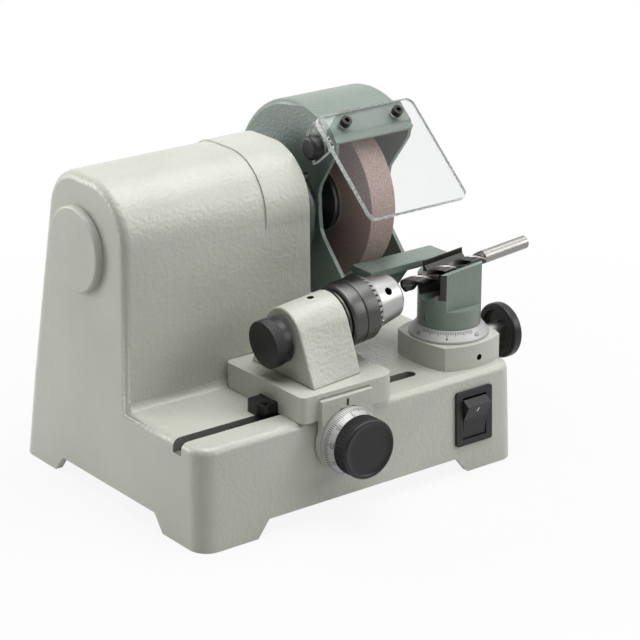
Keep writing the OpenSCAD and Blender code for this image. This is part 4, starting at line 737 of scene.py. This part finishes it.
def cone_text(place, rim, top, text, angle, along, height):
    """Faces of a number laid on a cone, its middle at angle and along; height in mm."""
    curve = bpy.data.curves.new("digits", "FONT")
    curve.body = text
    curve.align_x = "CENTER"
    curve.align_y = "CENTER"
    curve.size = height * FONT_SCALE
    curve.resolution_u = 3
    temp = linked("digits", curve)
    flat = temp.to_mesh()
    length = hypot(top[0] - rim[0], top[1] - rim[1])
    middle = rim[0] + (top[0] - rim[0]) * along
    verts = [cone_point(place, rim, top, angle + v.co.x / middle, along + v.co.y / length)
             for v in flat.vertices]
    faces = [tuple(p.vertices) for p in flat.polygons]
    temp.to_mesh_clear()
    bpy.data.objects.remove(temp)
    bpy.data.curves.remove(curve)
    return verts, faces


def joined(parts):
    verts, faces = [], []
    for part_verts, part_faces in parts:
        n = len(verts)
        verts += part_verts
        faces += [tuple(i + n for i in face) for face in part_faces]
    return verts, faces


# Feed dial: a hundred divisions, numbered by tens; zero stands near the bracket's mark
ZERO_ANGLE, DIVISIONS, NUMBERS = radians(98), 100, 10
DIAL_TENS, DIAL_FIVES, DIAL_ONES = 0.56, 0.48, 0.37
DIAL_TICK_FROM, DIAL_TICK_HALF, DIAL_TEXT_ALONG, DIAL_TEXT_H = 0.02, 0.26, 0.78, 3.4
dial_marks = []
for i in range(DIVISIONS):
    reach = DIAL_TENS if i % 10 == 0 else DIAL_FIVES if i % 5 == 0 else DIAL_ONES
    dial_marks.append((ZERO_ANGLE + 2 * pi * i / DIVISIONS, DIAL_TICK_FROM, reach, DIAL_TICK_HALF))
parts = [cone_ticks(*feed_cone, dial_marks)]
for i in range(NUMBERS):
    angle = ZERO_ANGLE + 2 * pi * i / NUMBERS
    parts.append(cone_text(*feed_cone, str(DIVISIONS // NUMBERS * i), angle, DIAL_TEXT_ALONG, DIAL_TEXT_H))
make_piece("feed_dial_marks", *joined(parts), "feed_dial", "black_oxide", [ink])

# Swivel ring: turned cone with a scale to both sides of its dot
ring_low, ring_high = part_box("dial_ring")
ring_centre = Vector(((ring_low.x + ring_high.x) / 2, (ring_low.y + ring_high.y) / 2, ring_low.z))
ring_place = Matrix.Translation(ring_centre)
RING_R, RING_RIM, RING_TOP, RING_H, PIVOT_R, RING_STEPS = 31.2, 2.0, 25.7, 9.0, 12.05, 160
ring_cone = (ring_place, (RING_R - 0.15, RING_RIM + 0.15), (RING_TOP + 0.15, RING_H - 0.2))
ring_profile = [(PIVOT_R, 0), (RING_R - 0.3, 0), (RING_R, 0.3), (RING_R, RING_RIM - 0.2), *ring_cone[1:],
                (RING_TOP - 0.1, RING_H), (PIVOT_R, RING_H)]
turned_piece("dial_ring_turned", "dial_ring", ring_profile, RING_STEPS, ring_place, "base", "bright_steel",
             bright_z, smooth=30)
SCALE_COUNT, SCALE_STEP, RING_TICK_TO, RING_TICK_HALF = 16, 2.75, 0.97, 0.24
RING_ZERO, RING_FIVES, RING_ONES = 0.42, 0.55, 0.68
RING_TEXT, RING_TEXT_TURN, RING_TEXT_ALONG, RING_TEXT_H = "40", 50, 0.36, 3.5
DOT_ANGLE, DOT_R, DOT_ALONG, DOT_REACH, DOT_POINTS = radians(-133), 0.9, 0.28, 0.1, 16
ring_marks = []
for i in range(-SCALE_COUNT, SCALE_COUNT + 1):
    reach = RING_ZERO if i == 0 else RING_FIVES if i % 5 == 0 else RING_ONES
    ring_marks.append((DOT_ANGLE + radians(SCALE_STEP * i), reach, RING_TICK_TO, RING_TICK_HALF))
parts = [cone_ticks(*ring_cone, ring_marks)]
for side in (-1, 1):
    angle = DOT_ANGLE + radians(side * RING_TEXT_TURN)
    parts.append(cone_text(*ring_cone, RING_TEXT, angle, RING_TEXT_ALONG, RING_TEXT_H))
dot_turns = [2 * pi * k / DOT_POINTS for k in range(DOT_POINTS)]
dot = [cone_point(*ring_cone, DOT_ANGLE + DOT_R * cos(a) / RING_R, DOT_ALONG + DOT_REACH * sin(a))
       for a in dot_turns]
parts.append((dot, [tuple(range(DOT_POINTS))]))
make_piece("dial_ring_marks", *joined(parts), "base", "black_oxide", [ink])

# Single marks: on the feed bracket, at the post's foot and on the rocker
MARK_POINTS = 20


def bar_mark(name, centre, along, across, normal, length, width, body, slot, mat):
    """Short filled line with round ends, just off a face; sizes in mm."""
    along, across, normal = Vector(along), Vector(across), Vector(normal)
    centre = Vector(centre) + normal * INK_LIFT * MM
    outline = []
    for k in range(MARK_POINTS):
        a = 2 * pi * k / MARK_POINTS
        end = (length - width) / 2 * (1 if sin(a) >= 0 else -1)
        aside, ahead = width / 2 * cos(a), width / 2 * sin(a) + end
        outline.append(centre + across * (aside * MM) + along * (ahead * MM))
    make_piece(name, outline, [tuple(range(MARK_POINTS))], body, slot, [mat])


INDEX_DROP, INDEX_L, INDEX_W = 5.2, 5.7, 2.3
bracket_low, bracket_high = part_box("feed_bracket")
index_centre = (feed_centre.x, bracket_low.y, bracket_high.z - INDEX_DROP * MM)
bar_mark("feed_index_mark", index_centre, (0, 0, 1), (1, 0, 0), (0, -1, 0), INDEX_L, INDEX_W,
         "carriage", "black_oxide", ink)
POST_R, POST_MARK_ANGLE, POST_GROUND = 24.7, radians(180), 0.3
POST_MARK_Z, POST_MARK_L, POST_MARK_W = 6.6, 5.0, 0.9
out = Vector((cos(POST_MARK_ANGLE), sin(POST_MARK_ANGLE), 0))
post_base = ring_high.z + POST_GROUND * MM
post_centre = Vector((ring_centre.x, ring_centre.y, post_base + POST_MARK_Z * MM)) + out * (POST_R * MM)
bar_mark("post_index_mark", post_centre, (0, 0, 1), (-out.y, out.x, 0), out, POST_MARK_L, POST_MARK_W,
         "swivel", "black_oxide", ink)

# Switch rocker: a bent key, its side outline as (up, out) points in mm, and a slanted mark on its top half
FRONT_LEAN, ROCKER_TILT, ROCKER_W, ROCKER_HALF = 2.0, 13.0, 23.0, 15.8
ROCKER_ROUND, ROCKER_SHARP = 0.5, 20
rocker_place = (Matrix.Translation(JOINTS["rocker_tilt"]["pos_m"])
                @ Matrix.Rotation(radians(90 - FRONT_LEAN + ROCKER_TILT), 4, "X"))
rocker_side = [(-ROCKER_HALF, -2), (-ROCKER_HALF, 5.0), (-0.4, 3.2), (12.6, 6.4), (ROCKER_HALF, -1),
               (ROCKER_HALF - 3, -5), (0, -8), (3 - ROCKER_HALF, -5)]
verts = [rocker_place @ Vector((x * ROCKER_W / 2 * MM, y * MM, z * MM))
         for x in (-1, 1) for y, z in rocker_side]
mesh = rounded_mesh("rocker_key", verts, tube_faces(len(rocker_side), 1), ROCKER_ROUND,
                    segments=2, sharp=ROCKER_SHARP)
mesh.materials.append(switch_plastic)
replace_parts(finish_piece("rocker_key", mesh, "rocker", SMOOTH), "rocker")
MARK_AXES = ((0.3, 0.928, 0.22), (0.954, -0.292, -0.069), (0, -0.231, 0.973))
ROCKER_MARK_L, ROCKER_MARK_W = 4.2, 1.1
mark_centre = rocker_place @ Vector((-0.5 * MM, 8.4 * MM, 5.35 * MM))
mark_axes = [rocker_place.to_3x3() @ Vector(axis) for axis in MARK_AXES]
bar_mark("rocker_mark", mark_centre, *mark_axes, ROCKER_MARK_L, ROCKER_MARK_W, "rocker", "casting_paint",
         white_ink)

# Drill: two helical flutes with raised margins, then a bright shank
DRILL_R, DRILL_START, DRILL_L, FLUTE_L, DRILL_TURNS, POINT = 5.25, -48.5, 126.0, 82.0, 1.5, 3.15
DRILL_Z, SIDES, FLUTE_SLICES, SHANK_STEPS = 0.1487, 48, 150, 64
MARGIN_END, LAND_END, FLUTE_SHARE, BRIGHT_SIDES = 0.07, 0.42, 0.58, 2
RELIEF, FLUTE_DEPTH, FLUTE_POWER, RUN_OUT, TIP_SHARE = 0.28, 0.66, 0.75, 7, 0.06
FLUTE_GAP, SHANK_GAP = 0.05, 0.02
swivel_pos = Vector(JOINTS["swivel_turn"]["pos_m"])
drill_place = axis_frame((swivel_pos.x, swivel_pos.y, DRILL_Z), JOINTS["drill_slide"]["axis"], (0, 1, 0))


def drill_radius(angle):
    """Radius over the drill's round: margin, relieved land, then the flute."""
    a = angle % pi / pi
    if a < MARGIN_END:
        return DRILL_R
    if a < LAND_END:
        return DRILL_R - RELIEF
    t = (a - LAND_END) / FLUTE_SHARE
    return DRILL_R * (1 - FLUTE_DEPTH * sin(pi * t) ** FLUTE_POWER) - RELIEF * (1 - t)


verts = []
slices = [0.0, 0.8, 1.6, 2.4, POINT]
slices += [POINT + (FLUTE_L - POINT) * i / FLUTE_SLICES for i in range(1, FLUTE_SLICES + 1)]
for s in slices:
    swirl = 2 * pi * DRILL_TURNS * s / FLUTE_L
    tip = min(1.0, max(TIP_SHARE, s / POINT))
    out_of_flute = max(0.0, (s - FLUTE_L + RUN_OUT) / RUN_OUT)
    for k in range(SIDES):
        a = 2 * pi * k / SIDES
        r = drill_radius(a) * (1 - out_of_flute) + (DRILL_R - FLUTE_GAP) * out_of_flute
        r = min(r, DRILL_R * tip)
        x, y = r * cos(a + swirl) * MM, r * sin(a + swirl) * MM
        verts.append(drill_place @ Vector((x, y, (DRILL_START + s) * MM)))
faces = tube_faces(SIDES, len(slices) - 1)
ring_mats = [1 if k % (SIDES // 2) < BRIGHT_SIDES else 0 for k in range(SIDES)]
face_mats = ring_mats * (len(slices) - 1) + [0, 0]
fluted = make_piece("drill_flutes", verts, faces, "drill", "drill_steel", [flute_steel, shank_steel],
                    face_mats, smooth=40)
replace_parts(fluted, "drill_bit")
shank_profile = [(0, FLUTE_L - 0.5), (DRILL_R - SHANK_GAP, FLUTE_L - 0.5),
                 (DRILL_R - SHANK_GAP, DRILL_L - 0.7), (DRILL_R - 0.7, DRILL_L), (0, DRILL_L)]
make_piece("drill_shank", *lathe(shank_profile, SHANK_STEPS, further(drill_place, DRILL_START)), "drill",
           "drill_steel", [shank_steel], smooth=30)


def largest(tree, values):
    """The largest of some values."""
    most = values[0]
    for value in values[1:]:
        node = add(tree, "ShaderNodeMath", operation="MAXIMUM")
        tree.links.new(most, node.inputs[0])
        tree.links.new(value, node.inputs[1])
        most = node.outputs[0]
    return most


# Floor: its white, for the camera, reflections and glass, rises outwards from the grinder until it is full
FLOOR_HALF, FLOOR_Z, FLOOR_ROUGH, FLOOR_GLOSS = 4, -0.0002, 0.9, 0.1
FLOOR_WHITE, FADE_FROM, FADE_TO = 0.9, 0.22, 0.6
verts = [(x * FLOOR_HALF, y * FLOOR_HALF, FLOOR_Z) for x, y in ((-1, -1), (1, -1), (1, 1), (-1, 1))]
floor_mesh = plain_mesh("floor", verts, [(0, 1, 2, 3)])
floor = linked("floor", floor_mesh)
floor_mat, tree, bsdf = new_material("floor_paper")
bsdf.inputs["Roughness"].default_value = FLOOR_ROUGH
bsdf.inputs["Specular IOR Level"].default_value = FLOOR_GLOSS
tree.links.new(ramp(tree, noise(tree, 3), [(0.3, (0.60, 0.60, 0.60)), (0.7, (0.62, 0.62, 0.62))]),
               bsdf.inputs["Base Color"])
path = add(tree, "ShaderNodeLightPath")
seen = largest(tree, [path.outputs[ray] for ray in ("Is Camera Ray", "Is Glossy Ray", "Is Transmission Ray")])
spot = add(tree, "ShaderNodeTexCoord")
reach = add(tree, "ShaderNodeVectorMath", operation="LENGTH")
tree.links.new(spot.outputs["Object"], reach.inputs[0])
share = add(tree, "ShaderNodeMath", operation="MULTIPLY")
tree.links.new(seen, share.inputs[0])
tree.links.new(spread(tree, reach.outputs["Value"], FLOOR_WHITE, 1.0, FADE_FROM, FADE_TO), share.inputs[1])
glow = add(tree, "ShaderNodeEmission", Strength=1.0)
mix = add(tree, "ShaderNodeMixShader")
tree.links.new(share.outputs[0], mix.inputs["Fac"])
tree.links.new(bsdf.outputs["BSDF"], mix.inputs[1])
tree.links.new(glow.outputs["Emission"], mix.inputs[2])
tree.links.new(mix.outputs["Shader"], tree.nodes["Material Output"].inputs["Surface"])
floor_mesh.materials.append(floor_mat)

# World: reflections see a bright sweep behind and above, and a dim room in front
AMBIENT, DIM_ROOM, SWEEP_TOWARDS, SWEEP_HALF = 0.09, 0.3, (0.25, 0.6, 0.76), 0.5
world = bpy.data.worlds.new("studio")
bpy.context.scene.world = world
world.use_nodes = True
sky = world.node_tree
path = add(sky, "ShaderNodeLightPath")
towards = add(sky, "ShaderNodeTexCoord")
facing = add(sky, "ShaderNodeVectorMath", operation="DOT_PRODUCT")
facing.inputs[1].default_value = SWEEP_TOWARDS
sky.links.new(towards.outputs["Generated"], facing.inputs[0])
mirrored = add(sky, "ShaderNodeMix", data_type="FLOAT")
mirrored.inputs[2].default_value = AMBIENT
sky.links.new(path.outputs["Is Glossy Ray"], mirrored.inputs[0])
sweep = spread(sky, facing.outputs["Value"], DIM_ROOM, 1.0, -SWEEP_HALF, SWEEP_HALF)
sky.links.new(sweep, mirrored.inputs[3])
straight = [path.outputs["Is Camera Ray"], path.outputs["Is Transmission Ray"]]
level = largest(sky, [mirrored.outputs[0], *straight])
sky.links.new(level, sky.nodes["Background"].inputs["Strength"])
sky.nodes["Background"].inputs["Color"].default_value = (1, 1, 1, 1)


# Lamps and camera
def area_light(name, place, target, size, watts):
    data = bpy.data.lights.new(name, "AREA")
    data.shape = "RECTANGLE"
    data.size, data.size_y = size, size
    data.energy = watts
    lamp = linked(name, data)
    lamp.location = place
    lamp.rotation_euler = (Vector(target) - Vector(place)).to_track_quat("-Z", "Y").to_euler()


area_light("top_soft", (0.12, -0.1, 1.45), (0, 0, 0.1), size=1.35, watts=25)
area_light("key_soft", (1.0, -1.05, 0.8), (0, 0, 0.12), size=0.8, watts=8.5)
area_light("left_soft", (-1.0, 1.15, 0.45), (-0.1, 0.04, 0.15), size=0.8, watts=12.5)

CAMERA_PLACE, LENS, SENSOR = (-1.0616453, -1.4100859, 0.76345), 137.17, 36.0
CAMERA_RIGHT, CAMERA_UP = Vector((0.79327, -0.60887, 0.0)), Vector((0.21161, 0.27569, 0.93768))
camera_data = bpy.data.cameras.new("camera")
camera_data.lens = LENS
camera_data.sensor_width = SENSOR
camera = linked("camera", camera_data)
camera.matrix_world = axis_frame(CAMERA_PLACE, CAMERA_RIGHT.cross(CAMERA_UP), CAMERA_RIGHT)
bpy.context.scene.camera = camera

bpy.context.scene.view_settings.view_transform = "Standard"
